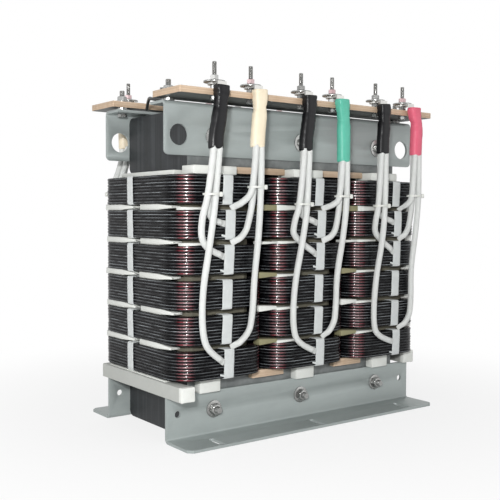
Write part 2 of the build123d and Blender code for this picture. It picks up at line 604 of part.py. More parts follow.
def terminal_stack():
    """Nut on the board, then a plate washer and spring washer over the lug, and the nut."""
    one_nut = nut(STUD_FLATS, STUD_DIAMETER, STUD_NUT_HEIGHT)
    nuts = [Pos(0, 0, BOARD_TOP) * one_nut, Pos(0, 0, TOP_NUT_BOTTOM) * one_nut]
    plate_washer = washer(PLATE_WASHER_DIAMETER, STUD_DIAMETER, PLATE_WASHER_THICKNESS)
    spring_washer = washer(SPRING_WASHER_DIAMETER, STUD_DIAMETER, SPRING_WASHER_THICKNESS)
    return nuts, [Pos(0, 0, LUG_TOP) * plate_washer, Pos(0, 0, PLATE_WASHER_TOP) * spring_washer]


def at_studs(pieces):
    """A copy of each piece at every stud, front and back."""
    return both_sides([Pos(x, -STUD_Y, 0) * piece for x in STUD_X for piece in pieces])


def cable_lug():
    """Ring on the stud, with a tongue out past the board and a leg down to the sleeve."""
    tongue_length = -SLEEVE_Y + LUG_LEG / 2 - STUD_Y
    plan = RegularPolygon(LUG_RING_DIAMETER / 2, ROUND_SIDES)
    plan += Pos(0, -tongue_length / 2) * Rectangle(LUG_TONGUE_WIDTH, tongue_length)
    plan -= bore_plan(STUD_DIAMETER)
    ring = Pos(0, 0, LUG_BOTTOM) * extrude(plan, amount=LUG_THICKNESS)
    leg = Pos(0, SLEEVE_Y + STUD_Y, SLEEVE_TOP) * Box(
        LUG_TONGUE_WIDTH, LUG_LEG, LUG_TOP - SLEEVE_TOP, align=(Align.CENTER, Align.CENTER, Align.MIN))
    return ring + leg


# ---- leads ----
def bend_radii(points):
    """Radius of each corner: 0.45 of the shorter run beside it, over the tangent of half
    the turn, which is the largest arc that leaves both runs a straight stretch."""
    radii = []
    for a, b, c in zip(points, points[1:], points[2:]):
        before, after = Vector(*b) - Vector(*a), Vector(*c) - Vector(*b)
        turn = radians(before.get_angle(after))
        radii.append(0.45 * min(before.length, after.length) / tan(turn / 2))
    return radii


def cable(points, diameter, start_gap=0.0):
    """Round cable along straight runs joined by tangent arcs, its start lowered by a gap."""
    x, y, z = points[0]
    points = ((x, y, z - start_gap), *points[1:])
    path = FilletPolyline(*points, radius=bend_radii(points))
    section = Plane(origin=path @ 0, z_dir=path % 0) * RegularPolygon(diameter / 2, LEAD_SIDES)
    return sweep(section, path=path)


def sleeve(route):
    """Flattened shrink sleeve from the lug down to where the leads part."""
    points = [(x, SLEEVE_Y, z) for x, z in route]
    path = FilletPolyline(*points, radius=bend_radii(points))
    outline = Rectangle(SLEEVE_WIDTH, SLEEVE_DEPTH)
    outline = chamfer(outline.vertices(), SLEEVE_CHAMFER)
    section = Plane(origin=path @ 0, x_dir=(1, 0, 0), z_dir=(0, 0, -1)) * outline
    return sweep(section, path=path)


def cable_tie(leads):
    """Band round the three leads of a bundle at their second points, with its head."""
    xs = [lead[1][0] for lead in leads]
    ys = [lead[1][1] for lead in leads]
    around = LEAD_DIAMETER + 2 * TIE_CLEARANCE
    width, depth = max(xs) - min(xs) + around, max(ys) - min(ys) + around
    band = Box(width + 2 * TIE_BAND, depth + 2 * TIE_BAND, TIE_HEIGHT) - Box(width, depth, TIE_HEIGHT)
    head_x = width / 2 + TIE_BAND + TIE_HEAD[0] / 2
    head = Pos(head_x, -depth / 4, 0) * Box(*TIE_HEAD)
    centre = Pos((max(xs) + min(xs)) / 2, (max(ys) + min(ys)) / 2, leads[0][1][2])
    return centre * (band + head)


# ---- assembly ----
def main():
    os.makedirs("parts", exist_ok=True)

    write("core_lower_yoke", yoke(CORE_LIFT, LOWER_BOLT_Z))
    write("core_upper_yoke", yoke(WINDOW_TOP, UPPER_BOLT_Z))
    coil = disc_coil()
    inner = tube(INNER_IN, INNER_OUT, WINDING_BOTTOM, WINDING_TOP)
    barrier = tube(BARRIER_IN, BARRIER_OUT, WINDING_BOTTOM, WINDING_TOP)
    for name, x in zip(LIMB_NAMES, LIMB_X):
        write(f"core_limb_{name}", limb(x))
        write(f"inner_winding_{name}", Pos(x, 0, 0) * inner)
        write(f"barrier_tube_{name}", Pos(x, 0, 0) * barrier)
        for level in range(1, DISC_COUNT + 1):
            write(f"disc_coil_{name}_{level}", Pos(x, 0, disc_bottom(level)) * coil)

    write("disc_spacers_white", *side_spacers(), *gap_bars(olive=False))
    write("disc_spacers_olive", *gap_bars(olive=True))
    write("binding_tapes", *binding_tapes())
    write("support_rails", *both_sides(support_rail()))
    write("lower_end_blocks", *both_sides([lower_end_block(x) for x in LIMB_X]))
    write("upper_end_blocks", *both_sides([*(upper_end_block(x) for x in LIMB_X), packing_strip()]))
    write("phase_boards", *phase_boards())

    low, high = bottom_clamp(), top_clamp()
    write("bottom_clamp_front", low)
    write("bottom_clamp_back", half_turn(low))
    write("top_clamp_front", high)
    write("top_clamp_back", half_turn(high))
    rods, nuts, washers = yoke_fasteners()
    write("yoke_bolts", *rods)
    write("yoke_nuts", *nuts)
    write("yoke_washers", *washers)

    board = terminal_board()
    write("terminal_board_front", board)
    write("terminal_board_back", half_turn(board))
    bolts, spacers, top_nuts = board_fasteners()
    write("board_bolts", *bolts)
    write("board_spacers", *spacers)
    write("board_nuts", *top_nuts)
    stud_nuts, stud_washers = terminal_stack()
    write("terminal_studs", *at_studs([terminal_stud()]))
    write("terminal_nuts", *at_studs(stud_nuts))
    write("terminal_washers", *at_studs(stud_washers))
    write("cable_lugs", *at_studs([cable_lug()]))

    front_leads = [cable(points, LEAD_DIAMETER, SLEEVE_END_GAP)
                   for bundle in BUNDLES for points in bundle["leads"]]
    write("leads_front", *front_leads)
    write("leads_back", *(half_turn(lead) for lead in front_leads))
    write("cable_ties", *both_sides([cable_tie(bundle["leads"]) for bundle in BUNDLES]))
    sleeves = {"black": [], "cream": [], "green": [], "red": []}
    on_the_back = {"black": "black", "cream": "red", "green": "green", "red": "cream"}
    for bundle in BUNDLES:
        piece = sleeve(bundle["sleeve"])
        sleeves[bundle["colour"]].append(piece)
        sleeves[on_the_back[bundle["colour"]]].append(half_turn(piece))
    for colour, pieces in sleeves.items():
        write(f"sleeves_{colour}", *pieces)
    write("earth_strap", cable(STRAP_ROUTE, STRAP_DIAMETER))


if __name__ == "__main__":
    main()
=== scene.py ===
"""Dry type transformer: wound coils, tapes, leads, fasteners, finishes and a small studio."""
import math

import bmesh
import bpy
import numpy as np
from mathutils import Euler, Matrix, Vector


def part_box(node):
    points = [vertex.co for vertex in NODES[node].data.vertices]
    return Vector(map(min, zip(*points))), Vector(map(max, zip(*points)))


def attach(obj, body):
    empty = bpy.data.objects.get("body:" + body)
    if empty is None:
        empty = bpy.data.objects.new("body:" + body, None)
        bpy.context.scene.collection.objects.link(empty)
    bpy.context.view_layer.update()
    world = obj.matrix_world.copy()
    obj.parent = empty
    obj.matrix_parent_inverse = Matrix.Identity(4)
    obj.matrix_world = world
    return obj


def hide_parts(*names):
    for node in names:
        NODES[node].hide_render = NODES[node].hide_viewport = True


bl_info = {
    "name": "Dry Type Transformer",
    "version": (1, 0, 0),
    "blender": (4, 5, 0),
    "location": "3D View > Sidebar > Transformer",
    "description": "Dresses an open three-limb transformer with coils, leads and finishes",
    "category": "Object",
}

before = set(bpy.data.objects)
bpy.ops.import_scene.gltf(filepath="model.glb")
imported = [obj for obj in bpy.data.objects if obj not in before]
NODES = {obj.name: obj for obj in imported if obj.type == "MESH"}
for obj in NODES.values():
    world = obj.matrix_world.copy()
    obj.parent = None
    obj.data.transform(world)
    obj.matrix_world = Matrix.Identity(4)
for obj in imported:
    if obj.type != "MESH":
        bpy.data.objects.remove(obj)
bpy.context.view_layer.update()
MM = 0.001
LIMBS = ("left", "centre", "right")
LEVELS = range(1, 7)
HALF_TURN = np.array([-1.0, -1.0, 1.0])


def box(node):
    """Lowest and highest corner of a CAD node as arrays."""
    low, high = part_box(node)
    return np.array(low), np.array(high)


# ---- surfaces ----
def grid_faces(rows, columns, close_rows, close_columns):
    """Quads of a grid of points, and the row and column of each corner before it wraps."""
    r = np.arange(rows if close_rows else rows - 1)[:, None]
    c = np.arange(columns if close_columns else columns - 1)[None, :]
    row = np.stack(np.broadcast_arrays(r, r + 1, r + 1, r), -1) + 0 * c[..., None]
    column = np.stack(np.broadcast_arrays(c, c, c + 1, c + 1), -1) + 0 * r[..., None]
    row, column = row.reshape(-1, 4), column.reshape(-1, 4)
    return (row % rows) * columns + column % columns, row, column


def signed_volume(points, faces):
    """Sum over the faces of a . (b x c) / 6, which is positive where faces point outwards."""
    corner = points[faces]
    total = np.einsum("ij,ij->", corner[:, 0], np.cross(corner[:, 1], corner[:, 2]))
    if faces.shape[1] == 4:
        total += np.einsum("ij,ij->", corner[:, 0], np.cross(corner[:, 2], corner[:, 3]))
    return total / 6


class Piece:
    """Closed surfaces gathered into one mesh object."""

    def __init__(self):
        self.points, self.faces, self.uv, self.marks, self.count = [], [], [], {}, 0

    def add(self, points, close_rows=False, along=None, around=None, flat_ends=False, **marks):
        """Add a grid whose columns close. Open rows get a fan of triangles at each end, or one
        flat face where the section is hollow. along and around give the UV of each row and
        column, one value more where they close."""
        rows, columns = points.shape[:2]
        along = np.arange(rows + 1.0) if along is None else along
        around = np.arange(columns + 1.0) if around is None else around
        quads, row, column = grid_faces(rows, columns, close_rows, True)
        flat = points.reshape(-1, 3)
        batches = [(quads, np.stack([along[row], around[column]], -1))]
        if not close_rows:
            flat = np.concatenate([flat, points[[0, -1]].mean(1)])
            c = np.arange(columns)
            n = (c + 1) % columns
            last = (rows - 1) * columns
            fans = np.concatenate([np.stack([c, n, 0 * c + rows * columns], -1),
                                   np.stack([n + last, c + last, 0 * c + rows * columns + 1], -1)])
            fan_uv = np.zeros((2 * columns, 3, 2))
            fan_uv[:columns, :, 0], fan_uv[columns:, :, 0] = along[0], along[rows - 1]
            fan_uv[:, :, 1] = np.tile(around[:columns], 2)[:, None]
            batches.append((fans, fan_uv))
        volume = sum(signed_volume(flat, faces) for faces, _ in batches)
        if flat_ends and not close_rows:
            flat = flat[:-2]
            ends = np.stack([c, (c + last)[::-1]])
            batches[1] = (ends, np.stack([0.0 * ends, around[ends % columns]], -1))
        for faces, uv in batches:
            if volume < 0:
                faces, uv = faces[:, ::-1], uv[:, ::-1]
            self.faces += (faces + self.count).tolist()
            self.uv.append(uv.reshape(-1, 2))
        for name, values in marks.items():
            values = np.broadcast_to(values, (rows, columns)).ravel()
            values = np.concatenate([values, np.full(len(flat) - len(values), values.mean())])
            self.marks.setdefault(name, []).append(values)
        self.points.append(flat)
        self.count += len(flat)

    def add_turned(self, points, **marks):
        """Add a closed grid, and once more turned half a turn about Z."""
        self.add(points, close_rows=True, **marks)
        self.add(points * HALF_TURN, close_rows=True, **marks)

    def build(self, name, finish, slot, *replaced, crease=None):
        mesh = bpy.data.meshes.new(name)
        mesh.from_pydata(np.concatenate(self.points), [], self.faces)
        mesh.uv_layers.new(name="UVMap").data.foreach_set("uv", np.concatenate(self.uv).ravel())
        for mark, values in self.marks.items():
            layer = mesh.attributes.new(mark, "FLOAT", "POINT")
            layer.data.foreach_set("value", np.concatenate(values))
        mesh.polygons.foreach_set("use_smooth", np.ones(len(self.faces), bool))
        if crease is not None:
            mesh.set_sharp_from_angle(angle=math.radians(crease))
        mesh.update()
        mesh.materials.append(finish.material)
        piece = bpy.data.objects.new(name, mesh)
        bpy.context.scene.collection.objects.link(piece)
        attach(piece, "root")
        if replaced:
            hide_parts(*replaced)
        return piece


def route_points(points, spacing):
    """Evenly spaced points along the NURBS curve of order 3 whose control points are given."""
    curve = bpy.data.curves.new("route", "CURVE")
    curve.dimensions = "3D"
    spline = curve.splines.new("NURBS")
    spline.points.add(len(points) - 1)
    for target, point in zip(spline.points, points):
        target.co = (*point, 1.0)
    spline.order_u = 3
    spline.use_endpoint_u = True
    spline.resolution_u = 16
    holder = bpy.data.objects.new("route", curve)
    mesh = bpy.data.meshes.new_from_object(holder)
    path = np.array([vertex.co for vertex in mesh.vertices])
    bpy.data.meshes.remove(mesh)
    bpy.data.objects.remove(holder)
    bpy.data.curves.remove(curve)
    reach = np.concatenate([[0], np.cumsum(np.linalg.norm(np.diff(path, axis=0), axis=1))])
    even = np.linspace(0, reach[-1], max(4, round(reach[-1] / spacing) + 1))
    return np.stack([np.interp(even, reach, path[:, k]) for k in range(3)], -1), even


def unit(vectors):
    return vectors / np.linalg.norm(vectors, axis=-1, keepdims=True)


def swept(path, across, up, reference=(0, 1, 0)):
    """Each section of a sweep is the path's point + across * side + up * normal, where side is
    tangent x reference and normal is side x tangent."""
    tangent = unit(np.gradient(path, axis=0))
    side = unit(np.cross(tangent, np.array(reference, float)))
    normal = np.cross(side, tangent)
    return path[:, None] + across[..., None] * side[:, None] + up[..., None] * normal[:, None]


def superellipse(angle, half_width, half_depth, power):
    """The closed curve |x/a|^p + |y/b|^p = 1 at the given angles."""
    c, s = np.cos(angle), np.sin(angle)
    reach = (np.abs(c) ** power + np.abs(s) ** power) ** (-1 / power)
    return half_width * c * reach, half_depth * s * reach


def circle(sides):
    return np.linspace(0, 2 * np.pi, sides, endpoint=False)


def revolved(profile, sides):
    """A closed profile of (radius, height) turned about Z."""
    angle = circle(sides)
    radius, height = profile[:, :1], profile[:, 1:]
    return np.stack([radius * np.cos(angle), radius * np.sin(angle), height + 0 * angle], -1)


def ring(radius, bore, height, edge):
    """Washer: a rectangle between bore and radius with its outer edges rounded off, turned."""
    profile = np.array([(bore, 0), (radius - edge, 0), (radius - 0.3 * edge, 0.3 * edge),
                        (radius, edge), (radius, height - edge),
                        (radius - 0.3 * edge, height - 0.3 * edge), (radius - edge, height),
                        (bore, height)])
    return revolved(profile, 48)


def bar(low, high, axis, edge, places=(), shares=()):
    """Box with rounded edges: rounded rectangles along one axis, drawn in at both ends as a
    circle of radius edge. places and shares thin its height part of the way along."""
    low, high = np.array(low, float), np.array(high, float)
    span = high[axis] - low[axis]
    depth = np.array([0, 0.3, 1.0]) * edge
    places = np.array(places, float)
    inner = places[(places > 1.2 * edge) & (places < span - 1.2 * edge)]
    t = np.concatenate([depth, inner, span - depth[::-1]])
    near = np.minimum(np.minimum(t, span - t), edge)
    inset = edge - np.sqrt(edge ** 2 - (edge - near) ** 2)
    share = np.interp(t, places, shares) if len(places) else np.ones(len(t))
    other = [k for k in range(3) if k != axis]
    half = (high - low)[other] / 2
    quarter = np.linspace(0, np.pi / 2, 4)
    angle = np.concatenate([quarter + k * np.pi / 2 for k in range(4)])
    signs = np.repeat(np.array([(1, 1), (-1, 1), (-1, -1), (1, -1)]), 4, axis=0)
    a = signs[:, 0] * (half[0] - edge - inset[:, None]) + edge * np.cos(angle)
    b = signs[:, 1] * (half[1] * share - edge - inset)[:, None] + edge * np.sin(angle)
    points = np.empty(a.shape + (3,))
    points[..., axis] = (low[axis] + t)[:, None]
    points[..., other[0]] = (low + high)[other[0]] / 2 + a
    points[..., other[1]] = (low + high)[other[1]] / 2 + b
    return points


def hex_nut(flats, bore, height, crowned=True):
    """At each angle the radius is the hexagon's, but never more than that of two cones that
    cut off its corners above and below."""
    angle = circle(72)
    face = (angle + np.pi / 6) % (np.pi / 3) - np.pi / 6
    hexagon = flats / 2 / np.cos(face)
    z = height * np.array([0, 0, .025, .06, .12, .2, .5, .8, .88, .94, .975, 1, 1])
    start = 0.47 * flats
    cone = start + 1.75 * np.minimum(z + (0 if crowned else height), height - z)
    radius = np.minimum(hexagon[None, :], cone[:, None])
    radius[0] = radius[-1] = bore
    return np.stack([radius * np.cos(angle), radius * np.sin(angle),
                     z[:, None] + 0 * radius], -1)


def thread(radius, length, pitch, sides=20):
    """Screw thread: the radius drops by a triangle wave of height along z less the pitch times
    the share of a turn, and fades out at both ends."""
    angle = circle(sides)
    z = np.linspace(0, length, max(8, int(length / pitch * 5)) + 1)[:, None]
    wave = np.abs(((z / pitch - angle / (2 * np.pi)) % 1) * 2 - 1)
    fade = np.clip(np.minimum(z, length - z) / (0.8 * pitch), 0, 1)
    r = radius - 0.09 * 8 * MM * (wave * fade + (1 - fade))
    return np.stack([r * np.cos(angle), r * np.sin(angle), z + 0 * r], -1)


def facing_front(points):
    """Turn a shape that stands on Z so that it stands on the plane y = 0 and points to -Y."""
    return np.stack([points[..., 0], -points[..., 2], points[..., 1]], -1)


def limb_plan(limb, side_steps, corner_steps, corner_radius):
    """Points round a limb's rectangle with small corner arcs, their outward directions, the
    distance along, and how far each point is into a corner. An offset t is point + t * out."""
    low, high = box(f"core_limb_{limb}")
    centre, half = (low + high)[:2] / 2, (high - low)[:2] / 2 - corner_radius
    arc = np.linspace(0, np.pi / 2, corner_steps)
    angle = np.concatenate([arc + k * np.pi / 2 for k in range(4)])
    signs = np.repeat(np.array([(1, 1), (-1, 1), (-1, -1), (1, -1)]), corner_steps, axis=0)
    out = np.stack([np.cos(angle), np.sin(angle)], -1)
    points = centre + signs * half + corner_radius * out
    bend = np.tile(np.exp(-((np.linspace(0, 1, corner_steps) - 0.58) / 0.21) ** 2), 4)
    rows = []
    for k in range(4):
        mine = slice(k * corner_steps, (k + 1) * corner_steps)
        a, b = (k + 1) * corner_steps - 1, (k + 1) * corner_steps % len(points)
        share = np.linspace(0, 1, side_steps + 2)[1:-1, None]
        straight = points[a] * (1 - share) + points[b] * share
        rows.append(np.concatenate([
            np.column_stack([points[mine], out[mine], bend[mine]]),
            np.column_stack([straight, np.repeat(out[a:a + 1], side_steps, 0),
                             np.zeros(side_steps)])]))
    table = np.concatenate(rows)
    step = np.linalg.norm(np.diff(table[:, :2] + 0.035 * table[:, 2:4], axis=0,
                                  append=table[:1, :2] + 0.035 * table[:1, 2:4]), axis=1)
    return table[:, :2], table[:, 2:4], table[:, 4], np.concatenate([[0], np.cumsum(step)])


# ---- finishes ----
def srgb(red, green, blue):
    """Linear colour of a display colour given as shares of 255."""
    value = np.array([red, green, blue]) / 255
    return (*np.where(value > 0.04045, ((value + 0.055) / 1.055) ** 2.4, value / 12.92), 1.0)


class Socket:
    """One output of a node. Operators on it add Math nodes."""

    def __init__(self, finish, output):
        self.finish, self.output = finish, output

    def math(self, operation, *values):
        return self.finish.node("ShaderNodeMath", {"operation": operation}, *values)

    def __add__(self, other):
        return self.math("ADD", self, other)

    def __sub__(self, other):
        return self.math("SUBTRACT", self, other)

    def __rsub__(self, other):
        return self.math("SUBTRACT", other, self)

    def __mul__(self, other):
        return self.math("MULTIPLY", self, other)

    def __truediv__(self, other):
        return self.math("DIVIDE", self, other)

    def __rtruediv__(self, other):
        return self.math("DIVIDE", other, self)

    def __pow__(self, other):
        return self.math("POWER", self, other)

    def __mod__(self, other):
        return self.math("FLOORED_MODULO", self, other)

    __radd__, __rmul__ = __add__, __mul__

    def abs(self):
        return self.math("ABSOLUTE", self)

    def sin(self):
        return self.math("SINE", self)

    def at_least(self, other):
        return self.math("MAXIMUM", self, other)

    def between(self, low, high):
        """0 below low, 1 above high, and a smooth step between."""
        return self.finish.node("ShaderNodeMapRange", {"interpolation_type": "SMOOTHSTEP"},
                                self, low, high)


class Finish:
    """One material, with the Principled shader that its methods feed."""

    def __init__(self, name, **constants):
        self.material = bpy.data.materials.new(name)
        self.material.use_nodes = True
        self.tree = self.material.node_tree
        self.shader = self.tree.nodes["Principled BSDF"]
        for socket, value in constants.items():
            self.shader.inputs[socket.replace("_", " ")].default_value = value

    def node(self, kind, settings=None, *values, output=0, **named):
        """Add a node: its settings first, then its sockets by order or by name."""
        made = self.tree.nodes.new(kind)
        for key, value in (settings or {}).items():
            if key == "stops":
                for element, (place, colour) in zip(
                        [made.color_ramp.elements[0],
                         *(made.color_ramp.elements.new(p) for p, _ in value[1:-1]),
                         made.color_ramp.elements[-1]], value):
                    element.position, element.color = place, colour
            else:
                setattr(made, key, value)
        pairs = [*zip(made.inputs, values),
                 *((made.inputs[name.replace("_", " ")], value) for name, value in named.items())]
        for socket, value in pairs:
            if isinstance(value, Socket):
                self.tree.links.new(value.output, socket)
            elif value is not None:
                socket.default_value = value
        return Socket(self, made.outputs[output])

    def feed(self, **sockets):
        for name, value in sockets.items():
            self.tree.links.new(value.output, self.shader.inputs[name.replace("_", " ")])

    def place(self, scale=(1, 1, 1), source="Object"):
        """Object coordinates, or a piece's UV map, times a scale."""
        where = self.node("ShaderNodeTexCoord", None, output=source)
        return self.node("ShaderNodeVectorMath", {"operation": "MULTIPLY"}, where, scale)

    def axis(self, vector, index):
        return self.node("ShaderNodeSeparateXYZ", None, vector, output=index)

    def mark(self, name):
        return self.node("ShaderNodeAttribute", {"attribute_name": name}, output="Fac")

    def noise(self, vector, size, detail=2.0, roughness=0.5):
        return self.node("ShaderNodeTexNoise", None, Vector=vector, Scale=size, Detail=detail,
                         Roughness=roughness)

    def mix(self, share, low, high):
        """Colour low where share is 0, high where it is 1."""
        made = self.tree.nodes.new("ShaderNodeMix")
        made.data_type = "RGBA"
        for index, value in ((0, share), (6, low), (7, high)):
            if isinstance(value, Socket):
                self.tree.links.new(value.output, made.inputs[index])
            else:
                made.inputs[index].default_value = value
        return Socket(self, made.outputs[2])

    def relief(self, height, depth):
        """Bump of a height from 0 to 1, depth in metres."""
        self.feed(Normal=self.node("ShaderNodeBump", None, Strength=1.0, Distance=depth,
                                   Height=height))


def dress(finish, *nodes):
    """Give CAD nodes a finish in all their material slots."""
    for name in nodes:
        mesh = NODES[name].data
        if not mesh.materials:
            mesh.materials.append(finish.material)
        for index in range(len(mesh.materials)):
            mesh.materials[index] = finish.material


def eased(name, finish, width):
    """Copy of a CAD node with its flat faces joined and its sharp edges bevelled."""
    mesh = NODES[name].data.copy()
    shape = bmesh.new()
    shape.from_mesh(mesh)
    bmesh.ops.remove_doubles(shape, verts=shape.verts, dist=2e-5)
    bmesh.ops.dissolve_limit(shape, angle_limit=math.radians(1.5), verts=shape.verts,
                             edges=shape.edges)
    for face in shape.faces:
        face.smooth = True
    shape.to_mesh(mesh)
    shape.free()
    mesh.materials.clear()
    mesh.materials.append(finish.material)
    piece = bpy.data.objects.new(f"{name}_eased", mesh)
    bpy.context.scene.collection.objects.link(piece)
    bevel = piece.modifiers.new("edges", "BEVEL")
    bevel.limit_method, bevel.angle_limit = "ANGLE", math.radians(40)
    bevel.width, bevel.segments, bevel.harden_normals = width, 2, True
    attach(piece, "root")
    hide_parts(name)


def varnished_wire(colours):
    """Dark enamel with a worn bright line on each turn, wine red where the wire bends."""
    f = Finish("varnished_wire", Specular_IOR_Level=0.14, Coat_Roughness=0.14)
    where = f.place(source="UV")
    along, turn = f.axis(where, 1), f.axis(where, 0)
    patches = f.noise(f.place((0.5, 9, 1), "UV"), 3.0, 1.0, 0.5)
    fine = f.noise(f.place((6, 160, 1), "UV"), 1.0, 2.0)
    edge = ((turn % 1.0) - 0.56).abs()
    line = (1.0 - edge.between(0.03, 0.12)) * patches.between(0.3, 0.65)
    bend = f.mark("bend")
    crest = 1.0 - edge.between(0.08, 0.27)
    glow = bend.between(0.2, 0.95) * crest * (0.55 + fine.between(0.3, 0.7) * 0.45)
    base = f.mix(patches.between(0.3, 0.7), colours.enamel_dark, colours.enamel_light)
    base = f.mix(glow, base, colours.enamel_wine)
    base = f.mix(line * (0.22 + f.mark("shine") * 0.78), base, colours.worn_line)
    glint = bend.between(0.93, 1.0) * (1.0 - edge.between(0.05, 0.2))
    base = f.mix(glint * 0.55, base, srgb(232, 214, 212))
    f.feed(Base_Color=base, Roughness=0.2 + fine * 0.14, Coat_Weight=bend.between(0.5, 0.9))
    f.relief(fine, 0.0001)
    return f


def woven(name, colour, dark, pitch, depth):
    """Plain weave: a checker of over and under from the product of two sine waves of the UV."""
    f = Finish(name, Roughness=0.85, Sheen_Weight=0.25, Sheen_Roughness=0.5)
    where = f.place((math.pi / pitch, math.pi / pitch, 1), "UV")
    over = f.axis(where, 0).sin() * f.axis(where, 1).sin()
    cloud = f.noise(f.place(), 130.0, 3.0)
    ribs = over.abs()
    f.feed(Base_Color=f.mix(0.25 + ribs * 0.35 + cloud * 0.4, dark, colour))
    f.relief(ribs, depth)
    return f


def braided(name, colour, dark, pitch, depth):
    """Braid: strands along two diagonals of the UV, the higher of the two on top."""
    f = Finish(name, Roughness=0.62, Sheen_Weight=0.15)
    where = f.place((math.pi / pitch, math.pi / pitch, 1), "UV")
    along, around = f.axis(where, 0), f.axis(where, 1)
    strands = (along + around).sin().abs().at_least((along - around).sin().abs())
    cloud = f.noise(f.place(), 90.0, 2.0)
    f.feed(Base_Color=f.mix(0.3 + strands * 0.4 + cloud * 0.3, dark, colour))
    f.relief(strands, depth)
    return f


def plated(name, colour, dark, roughness, metallic=1.0, grain=(40, 40, 400)):
    """Plated steel: soft clouds and a fine grain drawn out along one direction."""
    f = Finish(name, Metallic=metallic)
    clouds = f.noise(f.place(), 22.0, 4.0, 0.6)
    streaks = f.noise(f.place(grain), 3.0, 3.0, 0.6)
    f.feed(Base_Color=f.mix(0.6 * clouds + 0.4 * streaks, dark, colour),
           Roughness=roughness + (streaks - 0.5) * 0.16 + (clouds - 0.5) * 0.12)
    f.relief(streaks, 0.00002)
    return f


def laminated_steel(name, colour, light):
    """Core: sheets stacked along Y show as streaks that run across the other two axes. The
    broad faces that look along Y are bare steel."""
    f = Finish(name, Metallic=0.25)
    broad = f.axis(f.node("ShaderNodeNewGeometry", None, output="Normal"), 1).abs()
    sheets = f.noise(f.place((3, 1400, 3)), 1.0, 2.0, 0.7)
    packs = f.noise(f.place((1, 90, 1)), 1.0, 1.0)
    dust = f.noise(f.place(), 35.0, 4.0, 0.65)
    tone = sheets.between(0.4, 0.75) * 0.55 + packs.between(0.45, 0.7) * 0.25
    ends = f.mix(tone + dust.between(0.5, 0.8) * 0.2, colour, light)
    face = f.mix(dust.between(0.3, 0.7), srgb(104, 108, 108), srgb(128, 132, 131))
    f.feed(Base_Color=f.mix(broad.between(0.6, 0.8), ends, face),
           Roughness=0.42 + sheets * 0.25)
    f.relief(sheets, 0.00018)
    return f


def layered_board(name, colour, dark, edge_dark):
    """Pressed board: mottled faces, thin layers stacked in Z at the edges, dark underneath."""
    f = Finish(name, Roughness=0.55)
    height = f.axis(f.place(), 2)
    wander = f.noise(f.place((6, 6, 6)), 1.0, 2.0)
    layer = f.noise(f.node("ShaderNodeCombineXYZ", None, wander * 0.4, 0.0, height * 900.0),
                    1.0, 2.0)
    normal = f.axis(f.node("ShaderNodeNewGeometry", None, output="Normal"), 2)
    edge = 1.0 - normal.abs().between(0.3, 0.7)
    mottle = f.noise(f.place((30, 90, 30)), 1.0, 4.0, 0.6)
    face = f.mix(mottle.between(0.3, 0.7), dark, colour)
    lower = (0.0 - normal).between(0.6, 0.9)
    face = f.mix(lower, face, srgb(84, 86, 84))
    f.feed(Base_Color=f.mix(edge * layer.between(0.42, 0.58) * 0.5, face, edge_dark))
    f.relief(mottle * (1.0 - edge) + layer * edge, 0.00015)
    return f


def moulded(name, colour, dark, roughness=0.6, size=60.0, relief=0.00012):
    """Plain moulded or cut sheet with faint clouds and a fine surface grain."""
    f = Finish(name)
    clouds = f.noise(f.place(), size, 4.0, 0.6)
    grain = f.noise(f.place(), 900.0, 2.0)
    f.feed(Base_Color=f.mix(0.7 * clouds + 0.3 * grain, dark, colour),
           Roughness=roughness + (clouds - 0.5) * 0.2)
    f.relief(grain * 0.4 + clouds * 0.6, relief)
    return f


def shrunk(name, colour, dark, roughness, coat):
    """Shrunk sleeving: smooth, with faint lengthwise draw lines and darker creases."""
    f = Finish(name, Coat_Weight=coat, Coat_Roughness=0.2, Specular_IOR_Level=0.25)
    draw = f.noise(f.place((12, 350, 1), "UV"), 1.0, 3.0, 0.6)
    clouds = f.noise(f.place(), 70.0, 3.0)
    f.feed(Base_Color=f.mix(0.35 * draw + 0.65 * clouds, dark, colour),
           Roughness=roughness + (draw - 0.5) * 0.25)
    f.relief(draw * 0.5 + clouds * 0.5, 0.0005)
    return f


# ---- settings ----
def length(name, default, about):
    return bpy.props.FloatProperty(name=name, description=about, default=default, unit="LENGTH",
                                   min=0.0, precision=4)


def colour(name, value, about):
    return bpy.props.FloatVectorProperty(name=name, description=about, default=srgb(*value),
                                         size=4, subtype="COLOR", min=0.0, max=1.0)


class WindingSettings(bpy.types.PropertyGroup):
    turns: bpy.props.IntProperty(name="Turns", description="Turns seen on each disc", default=9,
                                 min=2, max=20)
    groove: length("Groove", 1.9 * MM, "Depth of the groove between two turns")
    duct: length("Duct", 3.0 * MM, "Space between the barrier tube and the discs")
    layers: bpy.props.IntProperty(name="Layers", description="Layers seen on top of a disc",
                                  default=5, min=1, max=12)
    enamel_dark: colour("Dark enamel", (4, 4, 6), "Darkest enamel of the wire")
    enamel_light: colour("Light enamel", (14, 14, 17), "Lightest enamel of the wire")
    enamel_wine: colour("Wine enamel", (128, 26, 40), "Enamel where the wire bends")
    worn_line: colour("Worn line", (158, 164, 167), "Bright line along a turn")


class BindingSettings(bpy.types.PropertyGroup):
    thickness: length("Thickness", 1.2 * MM, "Thickness of the tape")
    tape: colour("Tape", (228, 231, 229), "Woven tape")
    tape_shade: colour("Tape shade", (176, 182, 184), "Between the tape's threads")


class LeadSettings(bpy.types.PropertyGroup):
    diameter: length("Diameter", 11.5 * MM, "Diameter of a lead with its sleeving")
    sleeving: colour("Sleeving", (220, 222, 219), "Braided sleeving of the leads")
    sleeving_shade: colour("Sleeving shade", (172, 175, 175), "Between the strands")
    black: colour("Black", (20, 20, 23), "Black sleeves")
    cream: colour("Cream", (240, 229, 206), "Cream sleeves")
    green: colour("Green", (104, 194, 170), "Green sleeves")
    red: colour("Red", (232, 116, 138), "Red sleeves")
    tie: colour("Tie", (232, 233, 228), "Ties")


